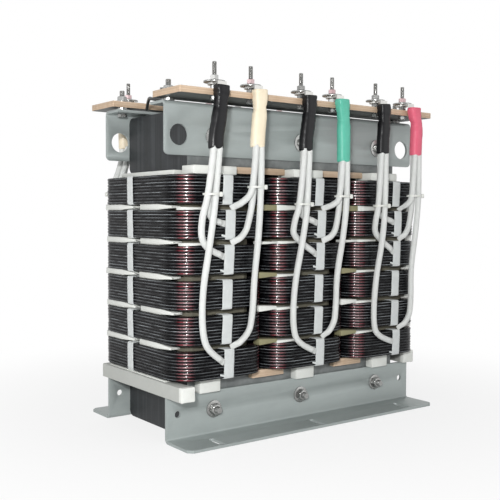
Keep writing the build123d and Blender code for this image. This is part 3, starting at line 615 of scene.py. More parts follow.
class FastenerSettings(bpy.types.PropertyGroup):
    thread_pitch: length("Thread pitch", 1.25 * MM, "Pitch of the terminal studs")
    bright: colour("Bright", (188, 188, 186), "Bright plated steel")
    bright_shade: colour("Bright shade", (104, 105, 104), "Dull patches on the plating")


class FrameSettings(bpy.types.PropertyGroup):
    zinc: colour("Zinc", (164, 171, 169), "Plated clamps")
    zinc_shade: colour("Zinc shade", (142, 150, 149), "Dull patches of the clamps")
    core: colour("Core", (24, 26, 28), "Core sheets")
    core_light: colour("Core light", (70, 74, 77), "Bright sheet edges")
    board: colour("Board", (206, 184, 160), "Terminal boards")
    board_edge: colour("Board edge", (170, 142, 116), "Dark layers of the boards' edges")
    white: colour("White", (232, 234, 230), "White insulation")
    olive: colour("Olive", (150, 146, 112), "Olive bars")


class StageSettings(bpy.types.PropertyGroup):
    place: bpy.props.FloatVectorProperty(
        name="Camera", description="Camera position", default=(-1.0147, -1.3129, 0.3974),
        subtype="TRANSLATION", unit="LENGTH")
    yaw: bpy.props.FloatProperty(name="Yaw", description="Turn from +Y towards +X",
                                 default=math.radians(36.58), subtype="ANGLE")
    pitch: bpy.props.FloatProperty(name="Pitch", description="Tilt up", subtype="ANGLE",
                                   default=math.radians(-2.51))
    roll: bpy.props.FloatProperty(name="Roll", description="Turn about the view axis",
                                  default=math.radians(0.22), subtype="ANGLE")
    lens: bpy.props.FloatProperty(name="Lens", description="Focal length in millimetres",
                                  default=58.72, subtype="DISTANCE_CAMERA")


SETTINGS = {"winding": WindingSettings, "binding": BindingSettings, "leads": LeadSettings,
            "fasteners": FastenerSettings, "frame": FrameSettings, "stage": StageSettings}


def settings(context, name):
    return getattr(context.scene, f"transformer_{name}")


# ---- coils ----
class WindCoils(bpy.types.Operator):
    """Wind the disc coils, each a closed band of turns round its limb"""
    bl_idname = "transformer.wind_coils"
    bl_label = "Wind coils"

    def section(self, s, inner, outer, bottom, top):
        """Closed outline of a disc in (offset, height): turns up the outer side with edges that
        fall away by the fifth power, layers across the top, a plain inner side, layers below.
        The third column counts turns."""
        share = np.array([-1, -.88, -.66, -.3, .3, .66, .88])
        pitch = (top - bottom) / s.turns
        k = np.repeat(np.arange(s.turns), len(share))
        local = np.tile(share, s.turns)
        side = np.column_stack([outer - s.groove * np.abs(local) ** 5,
                                bottom + pitch * (k + 0.5 + local / 2), k + 0.5 + local / 2])
        width = (outer - inner - s.groove) / s.layers
        share = np.array([-1, -.75, 0, .75])
        j = np.repeat(np.arange(s.layers), len(share))
        local = np.tile(share, s.layers)
        drop = 0.35 * s.groove * np.abs(local) ** 5
        across = width * (j + 0.5 + local / 2)
        count = s.turns + j + 0.5 + local / 2
        over = np.column_stack([outer - s.groove - across, top - drop, count])
        under = np.column_stack([inner + across, bottom + drop, count + s.layers])
        inside = np.column_stack([np.full(3, inner), np.linspace(top, bottom, 5)[1:-1],
                                  np.full(3, s.turns + s.layers)])
        return np.concatenate([side, over, inside, under]), len(side)

    def execute(self, context):
        s = settings(context, "winding")
        finish = varnished_wire(s)
        rng = np.random.default_rng(41)
        for limb in LIMBS:
            plan, out, bend, along = limb_plan(limb, 8, 14, 4 * MM)
            limb_x = box(f"core_limb_{limb}")[1][0]
            inner = box(f"barrier_tube_{limb}")[1][0] - limb_x + s.duct
            turned = along / along[-1] * 2 * np.pi
            for level in LEVELS:
                node = f"disc_coil_{limb}_{level}"
                low, high = box(node)
                outline, on_side = self.section(s, inner, high[0] - limb_x, low[2], high[2])
                turn = np.clip(outline[:, 2].astype(int), 0, s.turns - 1)
                loose = rng.uniform(-0.55, 0, s.turns)
                swing = rng.uniform(0.05, 0.22, s.turns)
                phase = rng.uniform(0, 6.28, s.turns)
                around = turned[:-1]
                wave = (loose[turn][:, None] + swing[turn][:, None]
                        * (np.sin(2 * around + phase[turn][:, None]) - 1)
                        + 0.08 * np.sin(7 * around + 2 * phase[turn][:, None]) - 0.08)
                wave[on_side:] = 0
                offset = outline[:, :1] + wave * MM
                lift = 0.18 * MM * np.sin(3 * around + phase[turn][:, None])
                lift[on_side:] = 0
                lift[[0, on_side - 1]] = 0
                flat = plan[None] + offset[..., None] * out[None]
                points = np.concatenate([flat, (outline[:, 1:2] + lift)[..., None]], -1)
                shine = rng.uniform(0, 1, s.turns) ** 2
                band = Piece()
                band.add(points, close_rows=True,
                         along=np.append(outline[:, 2], s.turns + 2 * s.layers),
                         around=along, bend=bend[None, :] + 0 * offset,
                         shine=shine[turn][:, None] + 0 * offset)
                band.build(f"coil_{limb}_{level}", finish, "coil_wire", node)
        return {"FINISHED"}


class BindTapes(bpy.types.Operator):
    """Bind each disc with woven tapes, front, back and on the two ends"""
    bl_idname = "transformer.bind_tapes"
    bl_label = "Bind tapes"

    def band(self, piece, centre, across, outward, half_width, build, height, thickness, rng):
        """Flat tape round the section of a disc. Its path is a superellipse of power 14 round
        the section, its own section a flat superellipse, dented where the turns lie below."""
        angle = circle(88)
        a, b = build / 2 + 0.12 * MM, height / 2 + 0.12 * MM
        x, z = superellipse(angle, a + thickness / 2, b + thickness / 2, 14.0)
        dents = 0.16 * MM * np.cos(2 * np.pi * 9 * (z / height + 0.5)) * (np.abs(z) < b * 0.98)
        edge = circle(18)
        w, t = superellipse(edge, half_width, thickness / 2, 5.0)
        skew = rng.uniform(0.2, 1.3) * MM
        w = w[None, :] + skew * np.sin(angle)[:, None] + 0.25 * MM * np.sin(3 * angle)[:, None]
        push = t[None, :] + dents[:, None] * (t > 0)
        reach = np.hypot(np.cos(angle), np.sin(angle))
        direction = unit(np.stack([np.sign(x) * np.abs(x / a) ** 9 / a,
                                   np.sign(z) * np.abs(z / b) ** 9 / b], -1))
        run = x[:, None] + push * direction[:, :1] * reach[:, None]
        rise = z[:, None] + push * direction[:, 1:]
        points = (centre + w[..., None] * across + run[..., None] * outward
                  + rise[..., None] * np.array([0, 0, 1.0]))
        length = np.concatenate([[0], np.cumsum(np.linalg.norm(
            np.diff(np.column_stack([x, z]), axis=0, append=[[x[0], z[0]]]), axis=1))])
        width = np.concatenate([np.cumsum(np.hypot(*np.gradient(np.stack([w[0], t]), axis=1))),
                                [0]])
        width[-1] = width[-2] * 1.03
        piece.add_turned(points, along=length, around=width)

    def execute(self, context):
        s = settings(context, "binding")
        finish = woven("woven_tape", s.tape, s.tape_shade, 0.9 * MM, 0.00025)
        rng = np.random.default_rng(7)
        tapes = Piece()
        shifts = dict(zip(LIMBS, (0.0, 10 * MM, 16 * MM)))
        strays = dict(zip(LEVELS, np.array([2.5, 8.0, 5.5, 2.0, 1.5, 6.0]) * MM))
        limb_low, limb_high = box("core_limb_left")
        barrier = box("barrier_tube_left")[1][0] - limb_high[0] + 3 * MM
        half_width = 10.4 * MM
        for level in LEVELS:
            for limb in LIMBS:
                low, high = box(f"disc_coil_{limb}_{level}")
                build = high[0] - box(f"core_limb_{limb}")[1][0] - barrier
                x = (low[0] + high[0]) / 2 + shifts[limb] + strays[level]
                centre = np.array([x, low[1] + build / 2, (low[2] + high[2]) / 2])
                self.band(tapes, centre, np.array([1.0, 0, 0]), np.array([0, -1.0, 0]),
                          half_width, build, high[2] - low[2], s.thickness, rng)
                if level in (2, 3, 6):      # the tape's cut end sticks out at its lower corner
                    corner = np.array([x - half_width, low[1] - 1.4 * MM, low[2] + 1.5 * MM])
                    tail = bar((-9 * MM, -0.5 * MM, 0), (3 * MM, 0.5 * MM, 5 * MM), 0, 0.3 * MM,
                               places=(0, 12 * MM), shares=(0.6, 1.0))
                    tail[..., 2] -= 0.25 * (tail[..., 0] - 3 * MM)
                    for turn in (1.0, HALF_TURN):
                        tapes.add((tail + corner) * turn, along=tail[:, 0, 0] * 1.0,
                                  around=np.linspace(0, 12 * MM, 17))
            low, high = box(f"disc_coil_left_{level}")
            centre = np.array([low[0] + build / 2, 20 * MM, (low[2] + high[2]) / 2])
            self.band(tapes, centre, np.array([0, 1.0, 0]), np.array([-1.0, 0, 0]),
                      half_width, build, high[2] - low[2], s.thickness, rng)
        tapes.build("tapes", finish, "woven_tape", "binding_tapes", crease=60)
        return {"FINISHED"}


# ---- leads ----
# Sleeve routes are (x, z) at the sleeves' own depth; each lead runs from the sleeve to its coil.
SLEEVE_Y = -174.5 * MM


def as_back(points, colour_name):
    """The half-turn copy of a bundle. The red one's copy stands 22 mm further in at the top,
    with the end of its sleeve 11 mm higher."""
    turned = points * HALF_TURN
    if colour_name == "red":
        z = points[..., 2]
        share = np.clip((z - 430 * MM) / (75 * MM), 0, 1)
        share = share ** 2 * (3 - 2 * share)
        turned[..., 0] += 22 * MM * share
        turned[..., 2] += 11 * MM * share * np.clip((614 * MM - z) / (80 * MM), 0, 1)
    return turned


FRONT, REAR, COIL = -178.0, -168.4, -154.9
BUNDLES = (
    ("black", ((-230, 614), (-231, 588), (-237, 550), (-242.5, 528), (-242.5, 507)), (
        ((-242.5, REAR, 507), (-248, -166, 431), (-246, -158, 400), (-232, COIL, 384),
         (-215.5, COIL, 382)),
        ((-248.1, FRONT, 507), (-256, -175, 431), (-264, -166, 393), (-260, -157, 354),
         (-241, COIL, 334), (-215.5, COIL, 326)),
        ((-236.9, FRONT, 507), (-242, -176, 431), (-250, -169, 345), (-258, -158, 265),
         (-256, COIL, 190), (-240, COIL, 157), (-215.5, COIL, 143)))),
    ("cream", ((-150, 614), (-149, 588), (-152, 550), (-154, 532), (-154, 514)), (
        ((-159.6, FRONT, 514), (-163, -176, 445), (-170, -166, 422), (-188.5, COIL, 409.5)),
        ((-154, REAR, 514), (-154, -166, 445), (-158, -158, 392), (-168, COIL, 358),
         (-188.5, COIL, 348.5)),
        ((-148.4, FRONT, 514), (-147, -176, 445), (-146, -168, 360), (-148, -158, 285),
         (-149, COIL, 221), (-158, COIL, 180), (-188.5, COIL, 165.5)))),
    ("black", ((-36, 614), (-35, 588), (-40, 556), (-44, 532), (-44, 513)), (
        ((-44, REAR, 513), (-46, -166, 416), (-40, COIL, 392), (-3.5, COIL, 384)),
        ((-49.6, FRONT, 513), (-56, -175, 416), (-64, -167, 385), (-58, COIL, 352),
         (-3.5, COIL, 326)),
        ((-38.4, FRONT, 513), (-39, -176, 416), (-46, -169, 345), (-55, -158, 270),
         (-57, COIL, 190), (-42, COIL, 154), (-4.5, COIL, 141)))),
    ("green", ((45, 614), (45, 602), (50, 575), (50, 497)), (
        ((44.4, FRONT, 497), (42, -176, 432), (38, -166, 417), (23.5, COIL, 409.5)),
        ((50, REAR, 497), (50, -166, 432), (51, -158, 388), (45, COIL, 357), (23.5, COIL, 348.5)),
        ((55.6, FRONT, 497), (59, -176, 432), (57, -168, 355), (50, -158, 285), (51, COIL, 218),
         (46, COIL, 182), (23.5, COIL, 165.5)))),
    ("black", ((156, 614), (158, 588), (156, 560), (154, 540), (154, 517)), (
        ((154, REAR, 517), (155, -166, 415), (161, COIL, 394), (204.5, COIL, 384)),
        ((148.4, FRONT, 517), (145, -175, 415), (143, -167, 383), (154, COIL, 354),
         (204.5, COIL, 326)),
        ((159.6, FRONT, 517), (162, -176, 415), (162, -169, 345), (155, -158, 270),
         (152, COIL, 186), (164, COIL, 150), (204.5, COIL, 140)))),
    ("red", ((243, 614), (243, 604), (252, 578), (250, 548), (249, 518)), (
        ((243.4, FRONT, 518), (241, -176, 436), (239.5, -166, 420), (231.5, COIL, 409.5)),
        ((249, REAR, 518), (250.5, -166, 436), (254, -158, 392), (248, COIL, 360),
         (231.5, COIL, 348.5)),
        ((254.6, FRONT, 518), (259, -176, 436), (259, -168, 360), (257, -158, 290),
         (262, COIL, 218), (256, COIL, 180), (231.5, COIL, 165.5)))),
)
BACK_COLOURS = {"black": "black", "cream": "red", "green": "green", "red": "cream"}
# Terminals from left to right on the front: pairs about three centres.
STUD_X = [(pair + side * 38.5) * MM for pair in (-191.5, 1.0, 193.5) for side in (-1, 1)]
STUD_Y = -152 * MM


class RunLeads(bpy.types.Operator):
    """Run the sleeved leads from the terminals to the coils, front and back"""
    bl_idname = "transformer.run_leads"
    bl_label = "Run leads"

    def execute(self, context):
        s = settings(context, "leads")
        finish = braided("lead_sleeving", s.sleeving, s.sleeving_shade, 1.7 * MM, 0.0003)
        rng = np.random.default_rng(19)
        leads = {"front": Piece(), "back": Piece()}
        angle = circle(16)
        for name, _, routes in BUNDLES:
            for route in routes:
                points = np.array(route) * MM
                points[0, 2] += 4 * MM          # the lead starts up inside its sleeve
                toward = points[-1] - points[-2]
                points[-1] += (11 if toward[0] > 0 else 5) * MM * unit(toward)  # and ends by a tape
                path, even = route_points(points, 3.2 * MM)
                swell = 1 + 0.025 * np.sin(even / (17 * MM) + rng.uniform(0, 6.28))
                # pressed flat on the coil where its end goes under the tape
                left = np.clip((even[-1] - even - 4 * MM) / (15 * MM), 0, 1)
                flat = 0.1 + 0.9 * left ** 2 * (3 - 2 * left)
                radius = s.diameter / 2 * swell[:, None]
                path[:, 1] += s.diameter / 2 * (1 - flat)
                tube = swept(path, radius * np.cos(angle), (radius * flat[:, None])
                             * np.sin(angle))
                around = np.linspace(0, 2 * np.pi * s.diameter / 2, 17)
                leads["front"].add(tube, along=even, around=around)
                leads["back"].add(as_back(tube, name), along=even, around=around)
        for side, piece in leads.items():
            piece.build(f"lead_tubes_{side}", finish, "lead_sleeving", f"leads_{side}")
        return {"FINISHED"}


class ShrinkSleeves(bpy.types.Operator):
    """Shrink the coloured sleeves over the lugs and the three leads below each"""
    bl_idname = "transformer.shrink_sleeves"
    bl_label = "Shrink sleeves"

    def execute(self, context):
        s = settings(context, "leads")
        finishes = {
            "black": shrunk("sleeve_black", s.black, srgb(6, 6, 8), 0.36, 0.0),
            "cream": shrunk("sleeve_cream", s.cream, srgb(222, 206, 178), 0.5, 0.1),
            "green": shrunk("sleeve_green", s.green, srgb(76, 166, 144), 0.46, 0.1),
            "red": shrunk("sleeve_red", s.red, srgb(208, 84, 108), 0.46, 0.1)}
        rng = np.random.default_rng(23)
        sleeves = {name: Piece() for name in finishes}
        angle = circle(40)
        for name, route, _ in BUNDLES:
            points = [(x * MM, SLEEVE_Y, z * MM) for x, z in route]
            path, even = route_points(points, 1.6 * MM)
            share = even / even[-1]
            # boxy round the lug, drawn in below it, then swelling over the bundle
            neck = np.exp(-((share - 0.3) / 0.12) ** 2)
            lip = np.clip(1 - np.minimum(share, 1 - share) * even[-1] / (2 * MM), 0, 1) ** 2
            half_width = (13.3 - 1.7 * neck - 0.9 * lip)[:, None] * MM
            half_depth = (9.8 - 1.2 * neck - 0.9 * lip + 0.1 * share)[:, None] * MM
            power = (4.0 - 1.5 * np.clip(share * 1.6, 0, 1))[:, None]
            across, up = superellipse(angle[None, :], half_width, half_depth, power)
            phase = rng.uniform(0, 6.28, 6)
            crease = sum(np.sin(even[:, None] / (size * MM) + phase[k]
                                + 1.5 * np.sin(angle + phase[k - 1]))
                         for k, size in enumerate((2.1, 3.4, 5.2)))
            strength = np.exp(-((share - 0.22) / 0.2) ** 2)[:, None] * 0.028 + 0.006
            folds = 1 + strength * crease + 0.02 * np.sin(3 * angle + phase[3]
                                                          + 2.5 * share[:, None])
            folds = np.minimum(folds, 1.02)
            tube = swept(path, across * folds, up * folds)
            girth = np.linspace(0, 0.075, len(angle) + 1)
            sleeves[name].add(tube, along=even, around=girth)
            sleeves[BACK_COLOURS[name]].add(as_back(tube, name), along=even, around=girth)
        for name, piece in sleeves.items():
            piece.build(f"shrunk_{name}", finishes[name], f"sleeve_{name}", f"sleeves_{name}",
                        crease=50)
        return {"FINISHED"}


class TieLeads(bpy.types.Operator):
    """Tie each bundle of leads, with the tie's head at its side"""
    bl_idname = "transformer.tie_leads"
    bl_label = "Tie leads"

    def execute(self, context):
        s = settings(context, "leads")
        finish = moulded("tie_nylon", s.tie, srgb(196, 198, 192), 0.45, 90.0)
        ties = Piece()
        for _, _, routes in BUNDLES:
            thirds = np.array([route[1] for route in routes]) * MM
            centre = (thirds.max(0) + thirds.min(0)) / 2
            half = (thirds.max(0) - thirds.min(0))[:2] / 2 + s.diameter / 2 + 0.6 * MM
            angle = circle(56)
            x, y = superellipse(angle, half[0], half[1], 2.6)
            section = circle(12)
            t, h = superellipse(section, 0.7 * MM, 1.9 * MM, 4.0)
            out = unit(np.stack([x / half[0] ** 2, y / half[1] ** 2], -1))
            points = np.stack([x[:, None] + t * out[:, :1], y[:, None] + t * out[:, 1:],
                               h + 0 * x[:, None]], -1) + centre
            ties.add_turned(points)
            # the head: a rounded block, a superellipsoid of power 4
            lat = np.linspace(-np.pi / 2, np.pi / 2, 13)[:, None]
            lon = circle(24)[None, :]
            ring_x, ring_y = superellipse(lon, 1.0, 1.0, 4.0)
            level = np.sign(np.sin(lat)) * np.abs(np.sin(lat)) ** 0.5
            shrink = np.abs(np.cos(lat)) ** 0.5 + 1e-3
            block = np.stack([ring_x * shrink * 3.3, ring_y * shrink * 3.3,
                              level * 4.3 + 0 * lon], -1) * MM
            place = centre + np.array([half[0] + 2.6 * MM, -half[1] / 2, 0])
            ties.add(block + place)
            ties.add((block + place) * HALF_TURN)
        ties.build("ties", finish, "nylon_tie", "cable_ties", crease=50)
        return {"FINISHED"}


class RunStrap(bpy.types.Operator):
    """Run the short strap between the two top clamps"""
    bl_idname = "transformer.run_strap"
    bl_label = "Run strap"

    def execute(self, context):
        finish = moulded("strap_cover", srgb(26, 26, 28), srgb(12, 12, 13), 0.4, 60.0)
        route = np.array(((-281, -72, 595.0), (-291, -45, 600), (-272, 0, 609),
                          (-243, 58, 595.2))) * MM
        path, even = route_points(route, 3 * MM)
        angle = circle(14)
        radius = np.full((len(path), 1), 3 * MM)
        strap = Piece()
        strap.add(swept(path, radius * np.cos(angle), radius * np.sin(angle), (0, 0, 1)),
                  along=even, around=np.linspace(0, 0.019, 15))
        strap.build("strap", finish, "strap_cover", "earth_strap")
        return {"FINISHED"}


# ---- fasteners ----
class FitFasteners(bpy.types.Operator):
    """Fit threaded studs, chamfered nuts, washers, rods and lugs"""
    bl_idname = "transformer.fit_fasteners"
    bl_label = "Fit fasteners"

    def execute(self, context):
        s = settings(context, "fasteners")
        bright = plated("bright_steel", s.bright, s.bright_shade, 0.26, 0.85, (60, 60, 60))
        paint = plated("painted_nut", srgb(182, 140, 144), srgb(176, 172, 171), 0.34, 0.7)
        parts = {name: Piece() for name in ("stud_threads", "stud_nuts", "stud_washers",
                                            "rods", "rod_nuts", "rod_washers",
                                            "board_screws", "board_hex_nuts")}
        marked = Piece()
        board_top = box("terminal_board_front")[1][2]
        board_low = box("terminal_board_front")[0][2]
        stud_top = box("terminal_studs")[1][2]
        radius = 4 * MM
        rng = np.random.default_rng(5)

        def stand(shape, x, y, z, turn=0.0):
            c, n = math.cos(turn), math.sin(turn)
            turned = np.stack([shape[..., 0] * c - shape[..., 1] * n,
                               shape[..., 0] * n + shape[..., 1] * c, shape[..., 2]], -1)
            return turned + np.array([x, y, z])

        def both(piece, shape, close=True):
            piece.add(shape, close_rows=close)
            piece.add(shape * HALF_TURN, close_rows=close)

        nut = hex_nut(13 * MM, radius + 0.1 * MM, 8 * MM)
        head = hex_nut(13 * MM, 0.5 * MM, 6.5 * MM)
        rod = thread(radius, stud_top - board_top, s.thread_pitch)
        shank = thread(radius, board_top - board_low, 50 * MM)
        for index, x in enumerate(STUD_X):
            twist = rng.uniform(0, 1.04, 3)
            both(parts["stud_threads"], stand(rod, x, STUD_Y, board_top), False)
            both(parts["stud_threads"], stand(shank, x, STUD_Y, board_low), False)
            both(parts["stud_nuts"], stand(head, x, STUD_Y, board_low - 6.5 * MM, twist[0]))
            both(parts["stud_nuts"], stand(nut, x, STUD_Y, board_top, twist[1]))
            top_nut = stand(nut, x, STUD_Y, board_top + 17 * MM, twist[2])
            both(marked if index in (1, 3, 5) else parts["stud_nuts"], top_nut)
            both(parts["stud_washers"], stand(ring(19 * MM, radius, 3 * MM, 0.6 * MM),
                                              x, STUD_Y, board_top + 12 * MM))
            both(parts["stud_washers"], stand(ring(7 * MM, radius, 2 * MM, 0.3 * MM),
                                              x, STUD_Y, board_top + 15 * MM))
        web = box("top_clamp_front")[0][1]
        rod_low, rod_high = box("yoke_bolts")
        for z, washer in ((48.6 * MM, 15.5 * MM), (534 * MM, 18 * MM)):
            for limb in LIMBS:
                low, high = box(f"core_limb_{limb}")
                x = (low[0] + high[0]) / 2
                outer = facing_front(ring(washer, 6 * MM, 2.5 * MM, 0.5 * MM))
                both(parts["rod_washers"], outer + np.array([x, web, z]))
                turn = rng.uniform(0, 1.04)
                hexagon = facing_front(stand(hex_nut(19 * MM, 6.1 * MM, 10 * MM), 0, 0, 0, turn))
                both(parts["rod_nuts"], hexagon + np.array([x, web - 2.5 * MM, z]))
                span = web - rod_low[1]
                screw = facing_front(thread(6 * MM, span, 1.75 * MM, 24))
                both(parts["rods"], screw + np.array([x, web, z]), False)
        flange = box("top_clamp_front")[1][2]
        screw_low, screw_high = box("board_bolts")
        for x in (-281 * MM, 281 * MM):
            y = -85 * MM
            both(parts["board_screws"], stand(thread(5 * MM, screw_high[2] - flange, 1.5 * MM), x, y,
                                              flange), False)
            both(parts["board_screws"], stand(hex_nut(16 * MM, 0.5 * MM, 6.4 * MM), x, y,
                                              screw_low[2], 0.3))
            both(parts["board_screws"], stand(ring(12 * MM, 5 * MM, 2.2 * MM, 0.4 * MM), x, y,
                                              board_top))
            both(parts["board_hex_nuts"], stand(hex_nut(16 * MM, 5.1 * MM, 8.4 * MM), x, y,
                                                board_top + 2.2 * MM, rng.uniform(0, 1)))
        replaced = {"stud_threads": "terminal_studs", "stud_nuts": "terminal_nuts",
                    "stud_washers": "terminal_washers", "rods": "yoke_bolts",
                    "rod_nuts": "yoke_nuts", "rod_washers": "yoke_washers",
                    "board_screws": "board_bolts", "board_hex_nuts": "board_nuts"}
        for name, piece in parts.items():
            piece.build(name, bright, "fastener_steel", replaced[name], crease=30)
        marked.build("marked_nuts", paint, "fastener_steel", "terminal_nuts", crease=30)
        dress(bright, "board_spacers")
        dress(plated("tinned_copper", srgb(205, 204, 200), srgb(150, 150, 148), 0.3), "cable_lugs")
        return {"FINISHED"}


# ---- frame ----
class FinishFrame(bpy.types.Operator):
    """Give core, clamps, boards and insulation their finishes"""
    bl_idname = "transformer.finish_frame"
    bl_label = "Finish frame"

    def execute(self, context):
        s = settings(context, "frame")
        zinc = plated("satin_zinc", s.zinc, s.zinc_shade, 0.44, 0.25, (12, 12, 160))
        for end in ("top", "bottom"):
            for side in ("front", "back"):
                eased(f"{end}_clamp_{side}", zinc, 0.7 * MM)
        dress(laminated_steel("core_sheets", s.core, s.core_light), "core_lower_yoke",
              "core_upper_yoke", *(f"core_limb_{limb}" for limb in LIMBS))
        dress(moulded("insulating_paper", srgb(122, 118, 102), srgb(84, 82, 72), 0.8),
              *(f"{kind}_{limb}" for kind in ("inner_winding", "barrier_tube") for limb in LIMBS))
        board = layered_board("board_laminate", s.board, srgb(192, 168, 142), s.board_edge)
        for name in ("terminal_board_front", "terminal_board_back"):
            eased(name, board, 0.5 * MM)
        strips = Piece()
        face, low = -105.3 * MM, box("lower_end_blocks")[1][2]
        top = box("phase_boards")[1][2]
        for x in (-101 * MM, 101 * MM):
            for z, height, width in ((low - 14 * MM, 14 * MM, 74 * MM),
                                     (top - 12 * MM, 12 * MM, 126 * MM)):
                strip = bar((x + 54 * MM - width, face - 12 * MM, z),
                            (x + 54 * MM, face, z + height), 0, 0.6 * MM)
                strips.add(strip)
                strips.add(strip * HALF_TURN)
        strips.build("phase_strips", board, "phenolic_board", "phase_boards", crease=35)
        return {"FINISHED"}


class FitInsulation(bpy.types.Operator):
    """Fit rails, end blocks, wedges and bars, all with eased edges"""
    bl_idname = "transformer.fit_insulation"
    bl_label = "Fit insulation"

    def execute(self, context):
        s = settings(context, "frame")
        white = moulded("white_insulation", s.white, srgb(206, 208, 202), 0.55)
        olive = moulded("olive_laminate", s.olive, srgb(118, 114, 84), 0.6)
        pieces = {"white": Piece(), "olive": Piece(), "rail": Piece()}
        rng = np.random.default_rng(3)
        edge = 1.3 * MM

        def place(piece, low, high, axis, turned=True, **taper):
            shape = bar(low, high, axis, edge, **taper)
            piece.add(shape)
            if turned:
                piece.add(shape * HALF_TURN)

        core_x = box("core_limb_right")[1][0]
        barrier_x = box("barrier_tube_right")[1][0]
        for number in range(1, 6):
            z_low = box(f"disc_coil_left_{number + 1}")[1][2]
            z_high = box(f"disc_coil_left_{number}")[0][2]
            outer_x = box(f"disc_coil_right_{number}")[1][0]
            face = box(f"disc_coil_left_{number}")[0][1]
            thin = z_low + (z_high - z_low) * 0.5
            for start in (-125 * MM, 8 * MM):
                shift = rng.uniform(-2.5, 2.5) * MM
                span = 112 * MM + rng.uniform(-4, 3) * MM
                place(pieces["white"],
                      (barrier_x + 0.3 * MM, start + shift, z_low),
                      (outer_x - 3.8 * MM + rng.uniform(-0.8, 0.5) * MM, start + shift + span,
                       z_high), 1,
                      places=(0, span - 48 * MM, span), shares=(1, 1, 0.36))
            for limb in LIMBS:
                low, high = box(f"core_limb_{limb}")
                x = (low[0] + high[0]) / 2
                y = face + 3.9 * MM + rng.uniform(-0.6, 1.2) * MM
                left = x - 87 * MM + rng.uniform(-2, 2) * MM
                if limb != "left" or number < 3:
                    full = z_high if number == 1 and limb != "left" else thin
                    place(pieces["white"], (left, y, z_low), (left + 52 * MM, y + 19 * MM, full),
                          0, places=(0, 52 * MM), shares=(1.0, 0.7))
                if limb != "right":
                    right = x + 75 * MM + rng.uniform(-2, 2) * MM
                    full = thin if number == 2 else z_high
                    place(pieces["white" if number % 2 == 0 else "olive"],
                          (right, y, z_low), (right + 42 * MM, y + 19 * MM, full), 0,
                          places=(0, 10 * MM, 42 * MM),
                          shares=(1.0, 0.95, 0.95 if number == 1 else 0.55))
        block_face, block_top = -105.3 * MM, box("lower_end_blocks")[1][2]
        low, high = box("upper_end_blocks")
        for limb in LIMBS:
            x = (box(f"core_limb_{limb}")[0][0] + box(f"core_limb_{limb}")[1][0]) / 2
            shift = -16 * MM if limb == "left" else 2 * MM
            place(pieces["white"],
                  (x + shift - 22 * MM, block_face - 18 * MM, box("lower_end_blocks")[0][2]),
                  (x + shift + 22 * MM, block_face, block_top), 0)
            place(pieces["white"],
                  (x - (64 if limb == "left" else 46) * MM, block_face - 38 * MM, low[2]),
                  (x + 26 * MM, block_face, high[2]), 0)
        place(pieces["white"], (high[0] - 19 * MM, -95 * MM, low[2]),
              (high[0], 95 * MM, low[2] + 8 * MM), 1)
        # channel rails: the outline of an open channel carried along Y
        low, high = box("support_rails")
        web_top = box("bottom_clamp_front")[1][2]
        rise, wall, width = 25 * MM, 5 * MM, 24 * MM
        right = high[0]
        outline = np.array([(0, 0), (wall, 0), (wall, rise - wall), (width - wall, rise - wall),
                            (width - wall, 0), (width, 0), (width, rise - 2 * MM),
                            (width - 0.6 * MM, rise - 0.6 * MM), (width - 2 * MM, rise),
                            (2 * MM, rise), (0.6 * MM, rise - 0.6 * MM), (0, rise - 2 * MM)])
        front_end = -high[1]
        for turned, y_low, y_high in ((True, front_end, 122 * MM), (False, -122 * MM, high[1])):
            y = np.array([y_low, y_low + 0.5 * MM, y_low + 40 * MM, y_high - 40 * MM,
                          y_high - 0.5 * MM, y_high])
            flare = 1 + (0.05 if turned else 0.2) * np.exp(-((y - y_low) / (14 * MM)) ** 2)
            flare[[0, -1]] *= 0.985
            x = right + (outline[:, 0] - width) * flare[:, None]
            z = web_top + outline[:, 1] + 0 * x
            points = np.stack([x, y[:, None] + 0 * x, z], -1)
            if turned:
                points = points * np.array([-1.0, 1.0, 1.0])
            pieces["rail"].add(points, flat_ends=True)
            cap = bar((right - width * flare[1] - 0.6 * MM, y_low - 1.5 * MM, web_top + 0.5 * MM),
                      (right + 0.8 * MM, y_low + 9 * MM, web_top + rise + 0.6 * MM), 1, 1.6 * MM)
            pieces["white"].add(cap * (np.array([-1.0, 1.0, 1.0]) if turned else 1.0))
            strip = bar((right - width + wall, -105 * MM, web_top + rise),
                        (right - wall, 105 * MM, high[2]), 1, 0.5 * MM)
            pieces["white"].add(strip * (HALF_TURN if turned else 1.0))
        pieces["rail"].build("rails", moulded("channel", srgb(186, 188, 183), srgb(162, 164, 160),
                                              0.55), "white_laminate", "support_rails", crease=35)
        pieces["white"].build("white_insulation", white, "white_laminate", "disc_spacers_white",
                              "support_rails", "upper_end_blocks", "lower_end_blocks",
                              crease=35)
        pieces["olive"].build("olive_bars", olive, "olive_laminate", "disc_spacers_olive",
                              crease=35)
        return {"FINISHED"}


# ---- stage ----
def shown_white(material_or_world, ambient, colour_value):
    """Feed strength: 1 for rays from the camera, through glass or off metal, else ambient."""
    tree = material_or_world.node_tree
    light = tree.nodes.new("ShaderNodeLightPath")
    seen = tree.nodes.new("ShaderNodeMath")
    seen.operation = "MAXIMUM"
    tree.links.new(light.outputs["Is Camera Ray"], seen.inputs[0])
    tree.links.new(light.outputs["Is Glossy Ray"], seen.inputs[1])
    through = tree.nodes.new("ShaderNodeMath")
    through.operation = "MAXIMUM"
    tree.links.new(seen.outputs[0], through.inputs[0])
    tree.links.new(light.outputs["Is Transmission Ray"], through.inputs[1])
    scaled = tree.nodes.new("ShaderNodeMapRange")
    tree.links.new(through.outputs[0], scaled.inputs[0])
    scaled.inputs["To Min"].default_value = ambient
    scaled.inputs["To Max"].default_value = colour_value
    return scaled.outputs[0]


